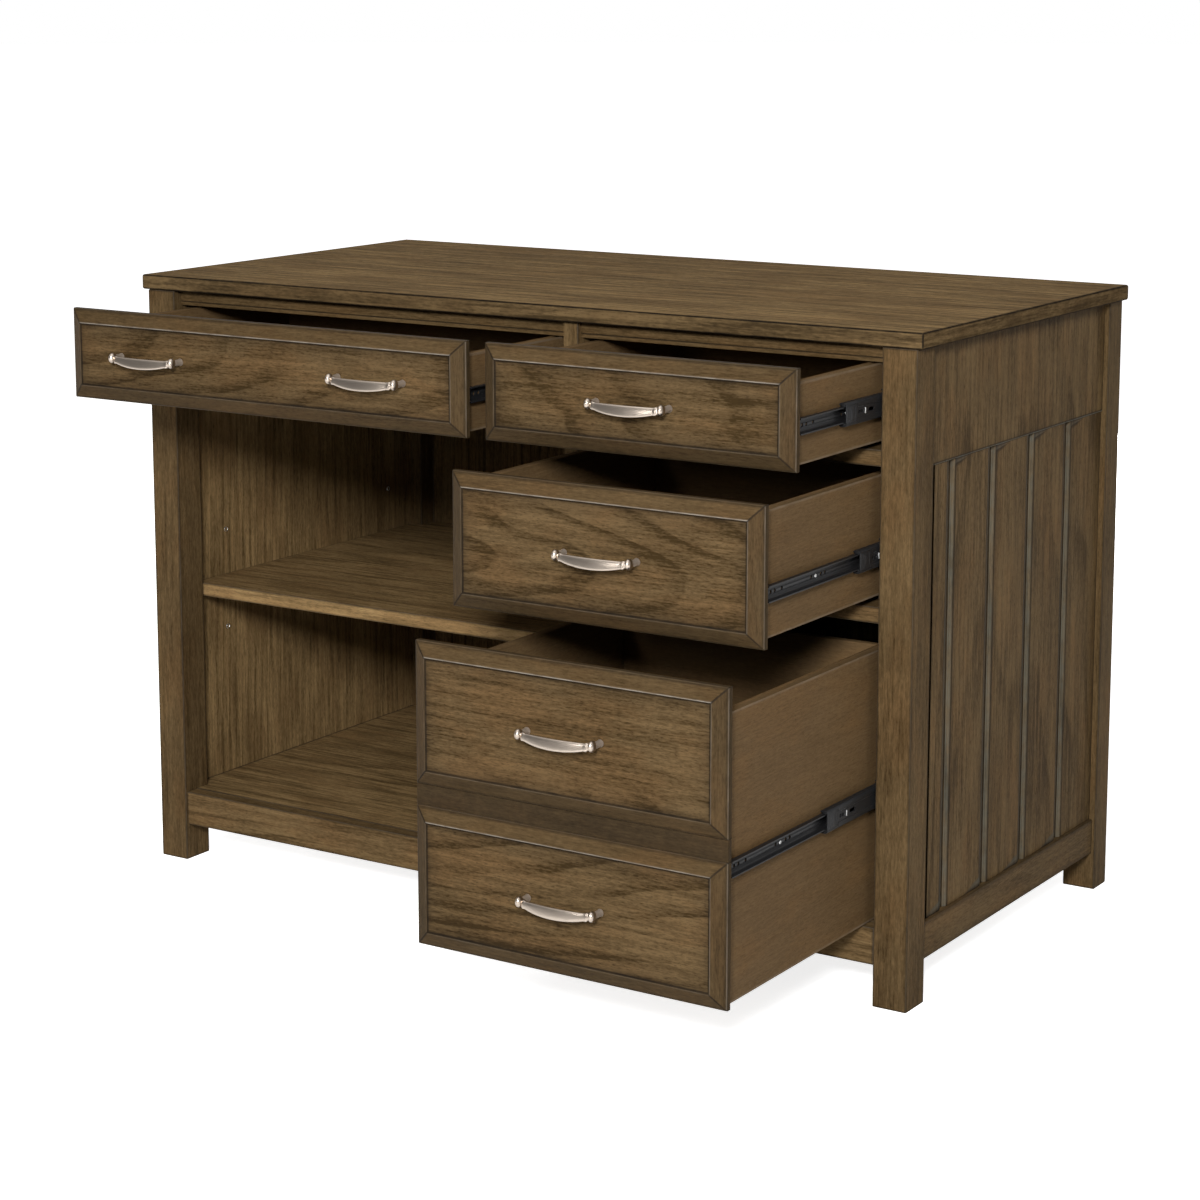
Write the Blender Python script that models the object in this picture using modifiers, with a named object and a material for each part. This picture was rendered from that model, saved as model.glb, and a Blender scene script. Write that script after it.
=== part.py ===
"""Free-standing wood credenza with four drawers on ball-bearing slides.

The case faces -Y, its right side faces +X and the floor is z = 0. The drawers
stand open, as they do in the photograph. All lengths are in metres.
"""
import math

import bmesh
import bpy
from mathutils import Matrix, Vector

# Overall size
WIDTH = 1.118
DEPTH = 0.5715
HEIGHT = 0.775
TOP_T = 0.019
SIDE_OVERHANG = 0.008
FRONT_OVERHANG = 0.003
JOINT_GAP = 0.0003
EASED_EDGE = 0.0012
POST_EDGE = 0.0015
TOP_EDGE_R = 0.0028

# Posts and sides
POST_W = 0.043
FRONT_POST_D = 0.045
REAR_POST_D = 0.038
PANEL_RECESS = 0.0085
PANEL_T = 0.0155
UPPER_PANEL_PROUD = 0.0015
UPPER_PANEL_H = 0.1365
SIDE_RAIL_RECESS = 0.004
BOARD_WIDTH = 0.107
LAST_GROOVE_TO_REAR_POST = 0.098
GROOVE_DEPTH = 0.0042
GROOVE_SLOPE_W = 0.014
GROOVE_LIP_W = 0.0045

# Rails, partition, shelf and back
BASE_Z = 0.0485
BASE_TOP_Z = 0.0925
BASE_RAIL_T = 0.020
BASE_RAIL_SETBACK = 0.002
BOTTOM_T = 0.016
FRAME_SETBACK = 0.006
FRAME_RAIL_T = 0.019
FRAME_RAIL_D = 0.045
SHALLOW_OPENING_H = 0.1155
MIDDLE_OPENING_H = 0.1585
TOP_RAIL_SETBACK = 0.0136
TOP_RAIL_H = 0.019
TOP_RAIL_D = 0.019
PARTITION_X = 0.0863
PARTITION_T = 0.020
BACK_T = 0.006
BACK_RECESS = 0.004
REAR_RAIL_SETBACK = 0.001
SHELF_SHARE = 0.482
SHELF_T = 0.0175
SHELF_SETBACK = 0.049
SHELF_PLAY = 0.001
PIN_R = 0.0025
PIN_REACH = 0.009

# Drawer fronts
FRONT_T = 0.0158
FRONT_EDGE_T = 0.0076
BORDER_W = 0.0165
FIELD_STEP = 0.0015
STEP_W = 0.0010
REVEAL = 0.0025
BUMPER = 0.0008
FAUX_STRIP_H = 0.024
FAUX_STRIP_DROP = 0.00075

# Drawer boxes
BOX_LENGTH = 0.395
BOX_SIDE_T = 0.012
BOX_BOTTOM_T = 0.006
BOX_BOTTOM_RISE = 0.010
BOX_BACK_DROP = 0.004
SHALLOW_BOX_LOW = 0.0058
SHALLOW_BOX_DROP = 0.0197
MIDDLE_BOX_LOW = 0.0085
MIDDLE_BOX_DROP = 0.0110
FILE_BOX_LOW = 0.0010
FILE_BOX_DROP = 0.0335

# How far each drawer stands open, and its middle slide members
OPEN_1 = 0.1940
OPEN_2 = 0.1927
OPEN_3 = 0.2571
OPEN_4 = 0.3288
MID_OPEN_1 = 0.0970
MID_OPEN_2 = 0.09635
MID_OPEN_3 = 0.0590
MID_OPEN_4 = 0.1270

# Slides
SLIDE_LENGTH = 0.406
SLIDE_W = 0.0127
SLIDE_START = 0.018
SHEET_T = 0.0013
RUNNING_GAP = 0.0004
OUTER_LIP = 0.0100
MIDDLE_LIP = 0.0108
OUTER_H = 0.035
MIDDLE_H = 0.0262
INNER_H = 0.0178
SHALLOW_SLIDE_RISE = 0.0412
MIDDLE_SLIDE_RISE = 0.0480
FILE_SLIDE_RISE = 0.1480
CLEAT_H = 0.045

# Pulls
PULL_CENTRES = 0.093
PULL_POST_R = 0.0042
PULL_KNOB_R = 0.0062
KNOB_FLATNESS = 0.62
PULL_STANDOFF = 0.0165
PULL_REACH = 0.0245
PULL_DROP = 0.0055
PULL_BOW_H = 0.0128
PULL_BOW_END_H = 0.0048
PULL_BOW_T = 0.0030
PULL_LEAN = 0.22
BOW_STATIONS = 12
BOW_SIDES = 10
WIDE_PULL_OFFSET = 0.165
PULL_RISE = 0.0015

# Where things end up
POST_OUT = WIDTH / 2 - SIDE_OVERHANG
POST_IN = POST_OUT - POST_W
TOP_Z = HEIGHT - TOP_T
FRONT_CLOSED = TOP_RAIL_SETBACK - BUMPER
REACH_AHEAD = OPEN_4 + FRONT_T - FIELD_STEP + JOINT_GAP + PULL_REACH - FRONT_CLOSED - FRONT_OVERHANG
TOP_BACK_Y = (DEPTH + REACH_AHEAD) / 2
TOP_FRONT_Y = TOP_BACK_Y - DEPTH
POST_FRONT_Y = TOP_FRONT_Y + FRONT_OVERHANG
REAR_POST_Y = TOP_BACK_Y - REAR_POST_D
BACK_Y = TOP_BACK_Y - BACK_RECESS - BACK_T
PANEL_OUT = POST_OUT - PANEL_RECESS
PANEL_IN = PANEL_OUT - PANEL_T
UPPER_PANEL_Z = TOP_Z - UPPER_PANEL_H
UPPER_RAIL_Z = TOP_Z - SHALLOW_OPENING_H - FRAME_RAIL_T
LOWER_RAIL_Z = UPPER_RAIL_Z - MIDDLE_OPENING_H - FRAME_RAIL_T
SHELF_Z = BASE_TOP_Z + SHELF_SHARE * (UPPER_RAIL_Z - BASE_TOP_Z)
FAUX_MIDDLE = (BASE_TOP_Z + LOWER_RAIL_Z) / 2 - FAUX_STRIP_DROP
FAUX_STRIP_LOW = FAUX_MIDDLE - FAUX_STRIP_H / 2
FAUX_STRIP_HIGH = FAUX_MIDDLE + FAUX_STRIP_H / 2
SHALLOW_LOW = UPPER_RAIL_Z + FRAME_RAIL_T + REVEAL
SHALLOW_HIGH = TOP_Z - REVEAL
MIDDLE_LOW = LOWER_RAIL_Z + FRAME_RAIL_T + REVEAL
MIDDLE_HIGH = UPPER_RAIL_Z - REVEAL
FILE_LOW = BASE_TOP_Z + REVEAL
FILE_HIGH = LOWER_RAIL_Z - REVEAL
SHALLOW_SLIDE_Z = SHALLOW_LOW + SHALLOW_BOX_LOW + SHALLOW_SLIDE_RISE
MIDDLE_SLIDE_Z = MIDDLE_LOW + MIDDLE_BOX_LOW + MIDDLE_SLIDE_RISE
FILE_SLIDE_Z = FILE_LOW + FILE_BOX_LOW + FILE_SLIDE_RISE

WOOD = (0.098, 0.064, 0.032)
WOOD_PLAIN = (0.102, 0.066, 0.036)
METAL_DARK = (0.012, 0.012, 0.012)
NICKEL = (0.62, 0.57, 0.52)


def start_clean():
    """Take away what a new Blender file holds."""
    for item in list(bpy.data.objects):
        bpy.data.objects.remove(item, do_unlink=True)


def new_collection(name):
    """Add a collection to the scene."""
    made = bpy.data.collections.new(name)
    bpy.context.scene.collection.children.link(made)
    return made


def new_material(name, colour, roughness, metallic=0.0):
    """Make a plain material with one colour."""
    made = bpy.data.materials.new(name)
    made.use_nodes = True
    shader = made.node_tree.nodes["Principled BSDF"]
    shader.inputs["Base Color"].default_value = (*colour, 1.0)
    shader.inputs["Roughness"].default_value = roughness
    shader.inputs["Metallic"].default_value = metallic
    made.diffuse_color = (*colour, 1.0)
    return made


def add_object(name, bm, centre, material, collection):
    """Turn a bmesh into a named object that stands at centre."""
    bmesh.ops.recalc_face_normals(bm, faces=bm.faces)
    mesh = bpy.data.meshes.new(name)
    bm.to_mesh(mesh)
    bm.free()
    item = bpy.data.objects.new(name, mesh)
    item.location = centre
    if material:
        mesh.materials.append(material)
    collection.objects.link(item)
    return item


def ease_edges(item, width, segments=2):
    """Round the sharp edges of a board a little."""
    bevel = item.modifiers.new("eased edges", "BEVEL")
    bevel.width = width
    bevel.segments = segments
    bevel.limit_method = "ANGLE"
    bevel.angle_limit = math.radians(40)
    return bevel


def board(name, low, high, material, collection, edge=EASED_EDGE, segments=2):
    """Add a straight board between two corners."""
    size = Vector(high) - Vector(low)
    centre = (Vector(high) + Vector(low)) / 2
    bm = bmesh.new()
    bmesh.ops.create_cube(bm, size=1.0, matrix=Matrix.Diagonal((*size, 1.0)))
    item = add_object(name, bm, centre, material, collection)
    if edge:
        ease_edges(item, edge, segments)
    return item


def outline_solid(name, points, along, start, end, material, collection):
    """Extrude an outline of (u, v) points along the x, y or z axis."""
    bm = bmesh.new()
    corners = []
    for u, v in points:
        if along == "x":
            place = (start, u, v)
        elif along == "y":
            place = (u, start, v)
        else:
            place = (u, v, start)
        corners.append(bm.verts.new(place))
    face = bm.faces.new(corners)
    moved = bmesh.ops.extrude_face_region(bm, geom=[face])
    shift = {"x": (end - start, 0, 0), "y": (0, end - start, 0), "z": (0, 0, end - start)}[along]
    fresh = [part for part in moved["geom"] if isinstance(part, bmesh.types.BMVert)]
    bmesh.ops.translate(bm, vec=shift, verts=fresh)
    return add_object(name, bm, (0, 0, 0), material, collection)


def use_cutter(item, cutter, operation="DIFFERENCE"):
    """Cut one solid with another, or join them."""
    change = item.modifiers.new(cutter.name, "BOOLEAN")
    change.operation = operation
    change.solver = "EXACT"
    change.object = cutter
    cutter.display_type = "WIRE"
    cutter.hide_render = True
    return change


def mirror_x(side, low, high):
    """Give the x span of a piece on the left (-1) or right (+1) side."""
    return (low, high) if side > 0 else (-high, -low)


def cylinder(name, radius, length, centre, axis, material, collection, sides=16):
    """Add a round pin along the x, y or z axis."""
    turn = {"x": Matrix.Rotation(math.pi / 2, 4, "Y"), "y": Matrix.Rotation(-math.pi / 2, 4, "X"),
            "z": Matrix.Identity(4)}[axis]
    bm = bmesh.new()
    bmesh.ops.create_cone(bm, cap_ends=True, segments=sides, radius1=radius, radius2=radius,
                          depth=length, matrix=turn)
    return add_object(name, bm, centre, material, collection)


def build_top_and_posts(parts, wood):
    """The worktop and the four legs that run from it to the floor."""
    board("worktop", (-WIDTH / 2, TOP_FRONT_Y, TOP_Z), (WIDTH / 2, TOP_BACK_Y, HEIGHT),
          wood["worktop"], parts, edge=TOP_EDGE_R, segments=3)
    spans = {"front": (POST_FRONT_Y, POST_FRONT_Y + FRONT_POST_D), "rear": (REAR_POST_Y, TOP_BACK_Y)}
    for depth_name, (near, far) in spans.items():
        for side_name, side in (("left", -1), ("right", 1)):
            left, right = mirror_x(side, POST_IN, POST_OUT)
            board(f"post_{depth_name}_{side_name}", (left, near, 0.0), (right, far, TOP_Z - JOINT_GAP),
                  wood["posts"], parts, edge=POST_EDGE)


def build_side(side, side_name, slide_levels, parts, cutters, wood):
    """A panel of vertical boards between two posts, and the rail under it."""
    near = POST_FRONT_Y + FRONT_POST_D + JOINT_GAP
    far = REAR_POST_Y - JOINT_GAP
    low = BASE_TOP_Z + JOINT_GAP
    high = TOP_Z - JOINT_GAP
    thick_out = PANEL_OUT + UPPER_PANEL_PROUD
    outline = [(PANEL_IN, low), (PANEL_OUT, low), (PANEL_OUT, UPPER_PANEL_Z - 0.002),
               (thick_out - 0.0008, UPPER_PANEL_Z), (thick_out, UPPER_PANEL_Z + 0.001),
               (thick_out, high), (PANEL_IN, high)]
    outline = [(side * x, z) for x, z in outline]
    panel = outline_solid(f"side_panel_{side_name}", outline, "y", near, far, wood["sides"], parts)

    last = REAR_POST_Y - LAST_GROOVE_TO_REAR_POST
    for number in range(4):
        deep_y = last - number * BOARD_WIDTH
        wedge = [(side * (PANEL_OUT + 0.0001), deep_y - GROOVE_SLOPE_W),
                 (side * (PANEL_OUT - GROOVE_DEPTH), deep_y - 0.001),
                 (side * (PANEL_OUT - GROOVE_DEPTH), deep_y),
                 (side * (PANEL_OUT + 0.0001), deep_y + GROOVE_LIP_W),
                 (side * (PANEL_OUT + 0.004), deep_y + GROOVE_LIP_W),
                 (side * (PANEL_OUT + 0.004), deep_y - GROOVE_SLOPE_W)]
        cutter = outline_solid(f"cut_groove_{side_name}_{number + 1}", wedge, "z", low - 0.01,
                               UPPER_PANEL_Z - 0.002, None, cutters)
        use_cutter(panel, cutter)

    for level in slide_levels:
        left, right = mirror_x(side, POST_IN, PANEL_IN + 0.002)
        cleat = board(f"join_cleat_{side_name}_{round(level * 1000)}",
                      (left, near, level - CLEAT_H / 2), (right, far, level + CLEAT_H / 2), None,
                      cutters, edge=0)
        use_cutter(panel, cleat, "UNION")
    if side < 0:
        add_shelf_pins(panel, -PANEL_IN, 1, cutters)

    left, right = mirror_x(side, POST_OUT - SIDE_RAIL_RECESS - BASE_RAIL_T, POST_OUT - SIDE_RAIL_RECESS)
    board(f"side_rail_{side_name}", (left, near, BASE_Z), (right, far, BASE_TOP_Z), wood["rails"], parts)


def add_shelf_pins(item, wall_x, reach, cutters):
    """Two short pins under the shelf, fixed in the wall beside it."""
    pin_z = SHELF_Z - JOINT_GAP - PIN_R
    front = POST_FRONT_Y + SHELF_SETBACK + 0.035
    rear = REAR_POST_Y - 0.045
    for number, y in enumerate((front, rear), 1):
        centre = (wall_x + reach * (PIN_REACH / 2 - 0.002), y, pin_z)
        pin = cylinder(f"join_pin_{item.name}_{number}", PIN_R, PIN_REACH + 0.004, centre, "x", None,
                       cutters, sides=14)
        use_cutter(item, pin, "UNION")


def build_case_inside(parts, cutters, wood):
    """Rails, partition, bottom, shelf and back."""
    inside = POST_IN - JOINT_GAP
    partition_end = PARTITION_X + PARTITION_T
    base_front = POST_FRONT_Y + BASE_RAIL_SETBACK
    board("front_base_rail", (-inside, base_front, BASE_Z), (inside, base_front + BASE_RAIL_T, BASE_TOP_Z),
          wood["rails"], parts)

    rail_front = POST_FRONT_Y + TOP_RAIL_SETBACK
    rail_back = rail_front + TOP_RAIL_D
    board("top_front_rail", (-inside, rail_front, TOP_Z - JOINT_GAP - TOP_RAIL_H),
          (inside, rail_back, TOP_Z - JOINT_GAP), wood["rails"], parts, edge=0.0008)

    partition = board("partition", (PARTITION_X, POST_FRONT_Y + FRAME_SETBACK, BASE_TOP_Z + JOINT_GAP),
                      (partition_end, BACK_Y - JOINT_GAP, TOP_Z - JOINT_GAP), wood["sides"], parts,
                      edge=0)
    notch = board("cut_top_rail_notch",
                  (PARTITION_X - 0.01, rail_front - JOINT_GAP, TOP_Z - 2 * JOINT_GAP - TOP_RAIL_H),
                  (partition_end + 0.01, rail_back + JOINT_GAP, TOP_Z + 0.01), None, cutters, edge=0)
    use_cutter(partition, notch)
    add_shelf_pins(partition, PARTITION_X, -1, cutters)

    for name, low in (("upper_drawer_rail", UPPER_RAIL_Z), ("lower_drawer_rail", LOWER_RAIL_Z)):
        board(name, (partition_end + JOINT_GAP, POST_FRONT_Y + FRAME_SETBACK, low),
              (inside, POST_FRONT_Y + FRAME_SETBACK + FRAME_RAIL_D, low + FRAME_RAIL_T),
              wood["rails"], parts)

    wide = POST_OUT - SIDE_RAIL_RECESS - BASE_RAIL_T - JOINT_GAP
    near = base_front + BASE_RAIL_T + JOINT_GAP
    post_back = POST_FRONT_Y + FRONT_POST_D + JOINT_GAP
    post_near = REAR_POST_Y - JOINT_GAP
    back = BACK_Y - JOINT_GAP
    outline = [(-inside, near), (inside, near), (inside, post_back), (wide, post_back), (wide, post_near),
               (inside, post_near), (inside, back), (-inside, back), (-inside, post_near),
               (-wide, post_near), (-wide, post_back), (-inside, post_back)]
    outline_solid("bottom_panel", outline, "z", BASE_TOP_Z - BOTTOM_T, BASE_TOP_Z, wood["inside"], parts)

    shelf_left = -PANEL_IN + SHELF_PLAY
    shelf_right = PARTITION_X - SHELF_PLAY
    shelf_front = POST_FRONT_Y + SHELF_SETBACK
    shelf_back = BACK_Y - SHELF_PLAY
    notch_x = -POST_IN + SHELF_PLAY
    notch_y = REAR_POST_Y - SHELF_PLAY
    outline = [(shelf_left, shelf_front), (shelf_right, shelf_front), (shelf_right, shelf_back),
               (notch_x, shelf_back), (notch_x, notch_y), (shelf_left, notch_y)]
    shelf = outline_solid("shelf", outline, "z", SHELF_Z, SHELF_Z + SHELF_T, wood["inside"], parts)
    ease_edges(shelf, 0.0008, 1)

    board("back_panel", (-inside, BACK_Y, BASE_TOP_Z + JOINT_GAP),
          (inside, BACK_Y + BACK_T, TOP_Z - JOINT_GAP), wood["inside"], parts, edge=0)
    board("rear_base_rail", (-inside, BACK_Y, BASE_Z), (inside, TOP_BACK_Y - REAR_RAIL_SETBACK, BASE_TOP_Z),
          wood["rails"], parts)


def drawer_front(name, left, right, low, high, back_y, faux_split, material, collection):
    """A front whose sloping border rises to a raised rim round a flat field."""
    width = right - left
    height = high - low
    bm = bmesh.new()
    bmesh.ops.create_cube(bm, size=1.0, matrix=Matrix.Diagonal((width, FRONT_EDGE_T, height, 1.0)))
    centre = Vector(((left + right) / 2, back_y - FRONT_EDGE_T / 2, (low + high) / 2))
    if faux_split:
        for level in faux_split:
            everything = bm.verts[:] + bm.edges[:] + bm.faces[:]
            bmesh.ops.bisect_plane(bm, geom=everything, plane_co=(0, 0, level - centre.z),
                                   plane_no=(0, 0, 1))
    bm.normal_update()
    faces = [face for face in bm.faces if face.normal.y < -0.9]
    if faux_split:
        middle = (faux_split[0] + faux_split[1]) / 2 - centre.z
        faces = [face for face in faces if abs(face.calc_center_median().z - middle) > 0.02]
    bmesh.ops.inset_individual(bm, faces=faces, thickness=BORDER_W, depth=FRONT_T - FRONT_EDGE_T,
                               use_even_offset=True)
    bmesh.ops.inset_individual(bm, faces=faces, thickness=STEP_W, depth=-FIELD_STEP,
                               use_even_offset=True)
    return add_object(name, bm, centre, material, collection)


def drawer_box(number, left, right, low, high, back_y, parts, cutters, wood):
    """Four walls and a bottom that lies between them."""
    near = back_y + JOINT_GAP
    far = near + BOX_LENGTH
    box = board(f"drawer_{number}_box", (left, near, low), (right, far, high), wood["boxes"], parts, edge=0)
    hollow = board(f"cut_drawer_{number}_inside", (left + BOX_SIDE_T, near + BOX_SIDE_T, low - 0.01),
                   (right - BOX_SIDE_T, far - BOX_SIDE_T, high + 0.01), None, cutters, edge=0)
    use_cutter(box, hollow)
    lowered = board(f"cut_drawer_{number}_back",
                    (left + BOX_SIDE_T, far - BOX_SIDE_T - 0.001, high - BOX_BACK_DROP),
                    (right - BOX_SIDE_T, far + 0.01, high + 0.01), None, cutters, edge=0)
    use_cutter(box, lowered)
    inset = BOX_SIDE_T + JOINT_GAP
    board(f"drawer_{number}_bottom", (left + inset, near + inset, low + BOX_BOTTOM_RISE),
          (right - inset, far - inset, low + BOX_BOTTOM_RISE + BOX_BOTTOM_T), wood["boxes"], parts, edge=0)


def bow_section(height):
    """The ribbon's rounded section: depth and height of its points."""
    points = []
    for part in range(BOW_SIDES):
        angle = 2 * math.pi * part / BOW_SIDES
        up = math.sin(angle) * height / 2
        points.append((math.cos(angle) * PULL_BOW_T / 2 + PULL_LEAN * up, up))
    return points


def pull(name, x, field_y, z, material, parts, cutters):
    """A bow handle: two round posts with domed ends and a ribbon that swells between them."""
    bm = bmesh.new()
    half = PULL_CENTRES / 2
    rings = []
    lead = max(-out for out, up in bow_section(PULL_BOW_H))
    for step in range(BOW_STATIONS + 1):
        t = -1 + 2 * step / BOW_STATIONS
        swell = max(0.0, 1 - t * t)
        height = PULL_BOW_END_H + (PULL_BOW_H - PULL_BOW_END_H) * swell ** 0.8
        drop = -PULL_DROP * swell ** 0.8
        ahead = -PULL_STANDOFF - (PULL_REACH - lead - PULL_STANDOFF) * swell
        rings.append([bm.verts.new((t * half, ahead + out, drop + up)) for out, up in bow_section(height)])
    for first, second in zip(rings, rings[1:]):
        for part in range(BOW_SIDES):
            after = (part + 1) % BOW_SIDES
            bm.faces.new((first[part], first[after], second[after], second[part]))
    bm.faces.new(rings[0])
    bm.faces.new(rings[-1][::-1])
    item = add_object(name, bm, (x, field_y - JOINT_GAP, z), material, parts)
    for word, side in (("left", -1), ("right", 1)):
        place = (x + side * half, field_y - JOINT_GAP - PULL_STANDOFF / 2, z)
        post = cylinder(f"join_{name}_post_{word}", PULL_POST_R, PULL_STANDOFF, place, "y", None, cutters)
        use_cutter(item, post, "UNION")
        flatten = Matrix.Rotation(math.pi / 2, 4, "X") @ Matrix.Diagonal((1, 1, KNOB_FLATNESS, 1))
        knob_bm = bmesh.new()
        bmesh.ops.create_uvsphere(knob_bm, u_segments=16, v_segments=9, radius=PULL_KNOB_R, matrix=flatten)
        place = (x + side * half, field_y - JOINT_GAP - PULL_STANDOFF, z)
        knob = add_object(f"join_{name}_knob_{word}", knob_bm, place, None, cutters)
        use_cutter(item, knob, "UNION")
    return item


def slide_member(name, wall_x, toward, level, start, reach, height, start_y, material, parts):
    """A folded steel channel: a web and two flanges, open towards the other members."""
    web = wall_x + toward * start
    lip = wall_x + toward * reach
    inner = web + (SHEET_T if lip > web else -SHEET_T)
    top = level + height / 2
    low = level - height / 2
    outline = [(web, low), (lip, low), (lip, low + SHEET_T), (inner, low + SHEET_T),
               (inner, top - SHEET_T), (lip, top - SHEET_T), (lip, top), (web, top)]
    return outline_solid(name, outline, "y", start_y, start_y + SLIDE_LENGTH, material, parts)


def slides(number, left_wall, right_wall, level, opened, mid_opened, parts, metal):
    """The pair of three-member slides that a drawer hangs on."""
    start = POST_FRONT_Y + SLIDE_START
    for side_name, wall, toward in (("left", left_wall, 1), ("right", right_wall, -1)):
        middle_web = JOINT_GAP + SHEET_T + RUNNING_GAP
        inner_lip = middle_web + SHEET_T + RUNNING_GAP
        slide_member(f"slide_{number}_{side_name}_outer", wall, toward, level, JOINT_GAP, OUTER_LIP,
                     OUTER_H, start, metal["slides"], parts)
        slide_member(f"slide_{number}_{side_name}_middle", wall, toward, level, middle_web, MIDDLE_LIP,
                     MIDDLE_H, start - mid_opened, metal["slides"], parts)
        slide_member(f"slide_{number}_{side_name}_inner", wall, toward, level, SLIDE_W - JOINT_GAP,
                     inner_lip, INNER_H, start - opened, metal["slides"], parts)


def drawer(number, left, right, low, high, opened, mid_opened, box_low, box_drop, slide_z, pulls, parts,
           cutters, wood, metal):
    """One drawer with its front, box, bottom, pulls and slides."""
    back_y = POST_FRONT_Y + FRONT_CLOSED - opened
    split = (FAUX_STRIP_LOW, FAUX_STRIP_HIGH) if number == 4 else None
    drawer_front(f"drawer_{number}_front", left, right, low, high, back_y, split, wood["fronts"], parts)
    left_wall = -POST_IN if number == 1 else PARTITION_X + PARTITION_T
    right_wall = PARTITION_X if number == 1 else POST_IN
    drawer_box(number, left_wall + SLIDE_W, right_wall - SLIDE_W, low + box_low, high - box_drop, back_y,
               parts, cutters, wood)
    field_y = back_y - FRONT_T + FIELD_STEP
    for word, x, z in pulls:
        pull(f"drawer_{number}_pull{word}", x, field_y, z, metal["pulls"], parts, cutters)
    slides(number, left_wall, right_wall, slide_z, opened, mid_opened, parts, metal)


def main():
    """Build the whole credenza."""
    start_clean()
    parts = new_collection("credenza")
    cutters = new_collection("credenza_cutters")
    wood = {"worktop": new_material("worktop_wood", WOOD, 0.45),
            "posts": new_material("post_wood", WOOD, 0.5),
            "sides": new_material("side_wood", WOOD, 0.5),
            "rails": new_material("rail_wood", WOOD, 0.5),
            "fronts": new_material("front_wood", WOOD, 0.48),
            "inside": new_material("inside_wood", WOOD, 0.55),
            "boxes": new_material("box_wood", WOOD_PLAIN, 0.6)}
    metal = {"slides": new_material("slide_steel", METAL_DARK, 0.42, 0.6),
             "pulls": new_material("pull_nickel", NICKEL, 0.28, 1.0)}

    build_top_and_posts(parts, wood)
    build_side(-1, "left", (SHALLOW_SLIDE_Z,), parts, cutters, wood)
    build_side(1, "right", (SHALLOW_SLIDE_Z, MIDDLE_SLIDE_Z, FILE_SLIDE_Z), parts, cutters, wood)
    build_case_inside(parts, cutters, wood)

    left = -POST_IN + REVEAL
    right = POST_IN - REVEAL
    split_left = PARTITION_X - REVEAL
    split_right = PARTITION_X + PARTITION_T + REVEAL
    narrow_x = (split_right + right) / 2
    wide_x = (left + split_left) / 2
    shallow_z = (SHALLOW_LOW + SHALLOW_HIGH) / 2 + PULL_RISE
    drawer(1, left, split_left, SHALLOW_LOW, SHALLOW_HIGH, OPEN_1, MID_OPEN_1, SHALLOW_BOX_LOW,
           SHALLOW_BOX_DROP, SHALLOW_SLIDE_Z,
           (("_left", wide_x - WIDE_PULL_OFFSET, shallow_z),
            ("_right", wide_x + WIDE_PULL_OFFSET, shallow_z)),
           parts, cutters, wood, metal)
    drawer(2, split_right, right, SHALLOW_LOW, SHALLOW_HIGH, OPEN_2, MID_OPEN_2, SHALLOW_BOX_LOW,
           SHALLOW_BOX_DROP, SHALLOW_SLIDE_Z, (("", narrow_x, shallow_z),), parts, cutters, wood, metal)
    drawer(3, split_right, right, MIDDLE_LOW, MIDDLE_HIGH, OPEN_3, MID_OPEN_3, MIDDLE_BOX_LOW,
           MIDDLE_BOX_DROP, MIDDLE_SLIDE_Z,
           (("", narrow_x, (MIDDLE_LOW + MIDDLE_HIGH) / 2 + PULL_RISE),), parts, cutters, wood, metal)
    upper_z = (FAUX_STRIP_HIGH + FILE_HIGH) / 2 + PULL_RISE
    lower_z = (FAUX_STRIP_LOW + FILE_LOW) / 2 + PULL_RISE
    drawer(4, split_right, right, FILE_LOW, FILE_HIGH, OPEN_4, MID_OPEN_4, FILE_BOX_LOW, FILE_BOX_DROP,
           FILE_SLIDE_Z, (("_upper", narrow_x, upper_z), ("_lower", narrow_x, lower_z)), parts, cutters,
           wood, metal)
    for item in cutters.objects:
        item.hide_render = True
        item.display_type = "WIRE"
        item.hide_set(True)


main()
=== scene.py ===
"""Looks of a wood credenza with four drawers, laid out as a Blender add-on and run as a script.

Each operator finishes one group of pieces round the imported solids: their fine
shapes, their stains and metals, and at last the stage. All lengths are metres.
"""
import math
import random

import bmesh
import bpy
from bpy.props import FloatProperty, FloatVectorProperty, PointerProperty
from mathutils import Matrix, Vector


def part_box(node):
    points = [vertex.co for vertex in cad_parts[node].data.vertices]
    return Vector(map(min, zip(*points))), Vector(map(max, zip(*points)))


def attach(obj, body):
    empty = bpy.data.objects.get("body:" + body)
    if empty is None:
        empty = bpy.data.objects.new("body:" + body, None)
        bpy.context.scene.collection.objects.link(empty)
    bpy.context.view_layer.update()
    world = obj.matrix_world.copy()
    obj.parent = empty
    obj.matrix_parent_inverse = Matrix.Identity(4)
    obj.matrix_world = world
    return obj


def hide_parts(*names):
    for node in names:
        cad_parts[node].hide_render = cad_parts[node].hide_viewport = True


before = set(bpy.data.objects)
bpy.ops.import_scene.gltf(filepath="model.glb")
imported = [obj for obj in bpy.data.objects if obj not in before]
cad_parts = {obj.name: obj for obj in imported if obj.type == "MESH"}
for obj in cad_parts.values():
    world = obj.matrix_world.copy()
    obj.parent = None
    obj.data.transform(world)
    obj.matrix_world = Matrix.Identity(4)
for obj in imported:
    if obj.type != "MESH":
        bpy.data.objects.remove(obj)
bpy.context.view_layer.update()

bl_info = {
    "name": "Wood credenza",
    "version": (1, 0, 0),
    "blender": (4, 5, 0),
    "location": "View3D > Sidebar > Credenza",
    "description": "Dresses a credenza's solids with wood, slides, pulls and a plain stage",
    "category": "Object",
}

SIDES = {"left": -1, "right": 1}
DRAWERS = (1, 2, 3, 4)
CASE = "case"
FIELD_SEEDS = {1: 37, 2: 32, 3: 33, 4: 34}
STRIP_DROP = 0.00075


# ---------------------------------------------------------------- settings

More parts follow.
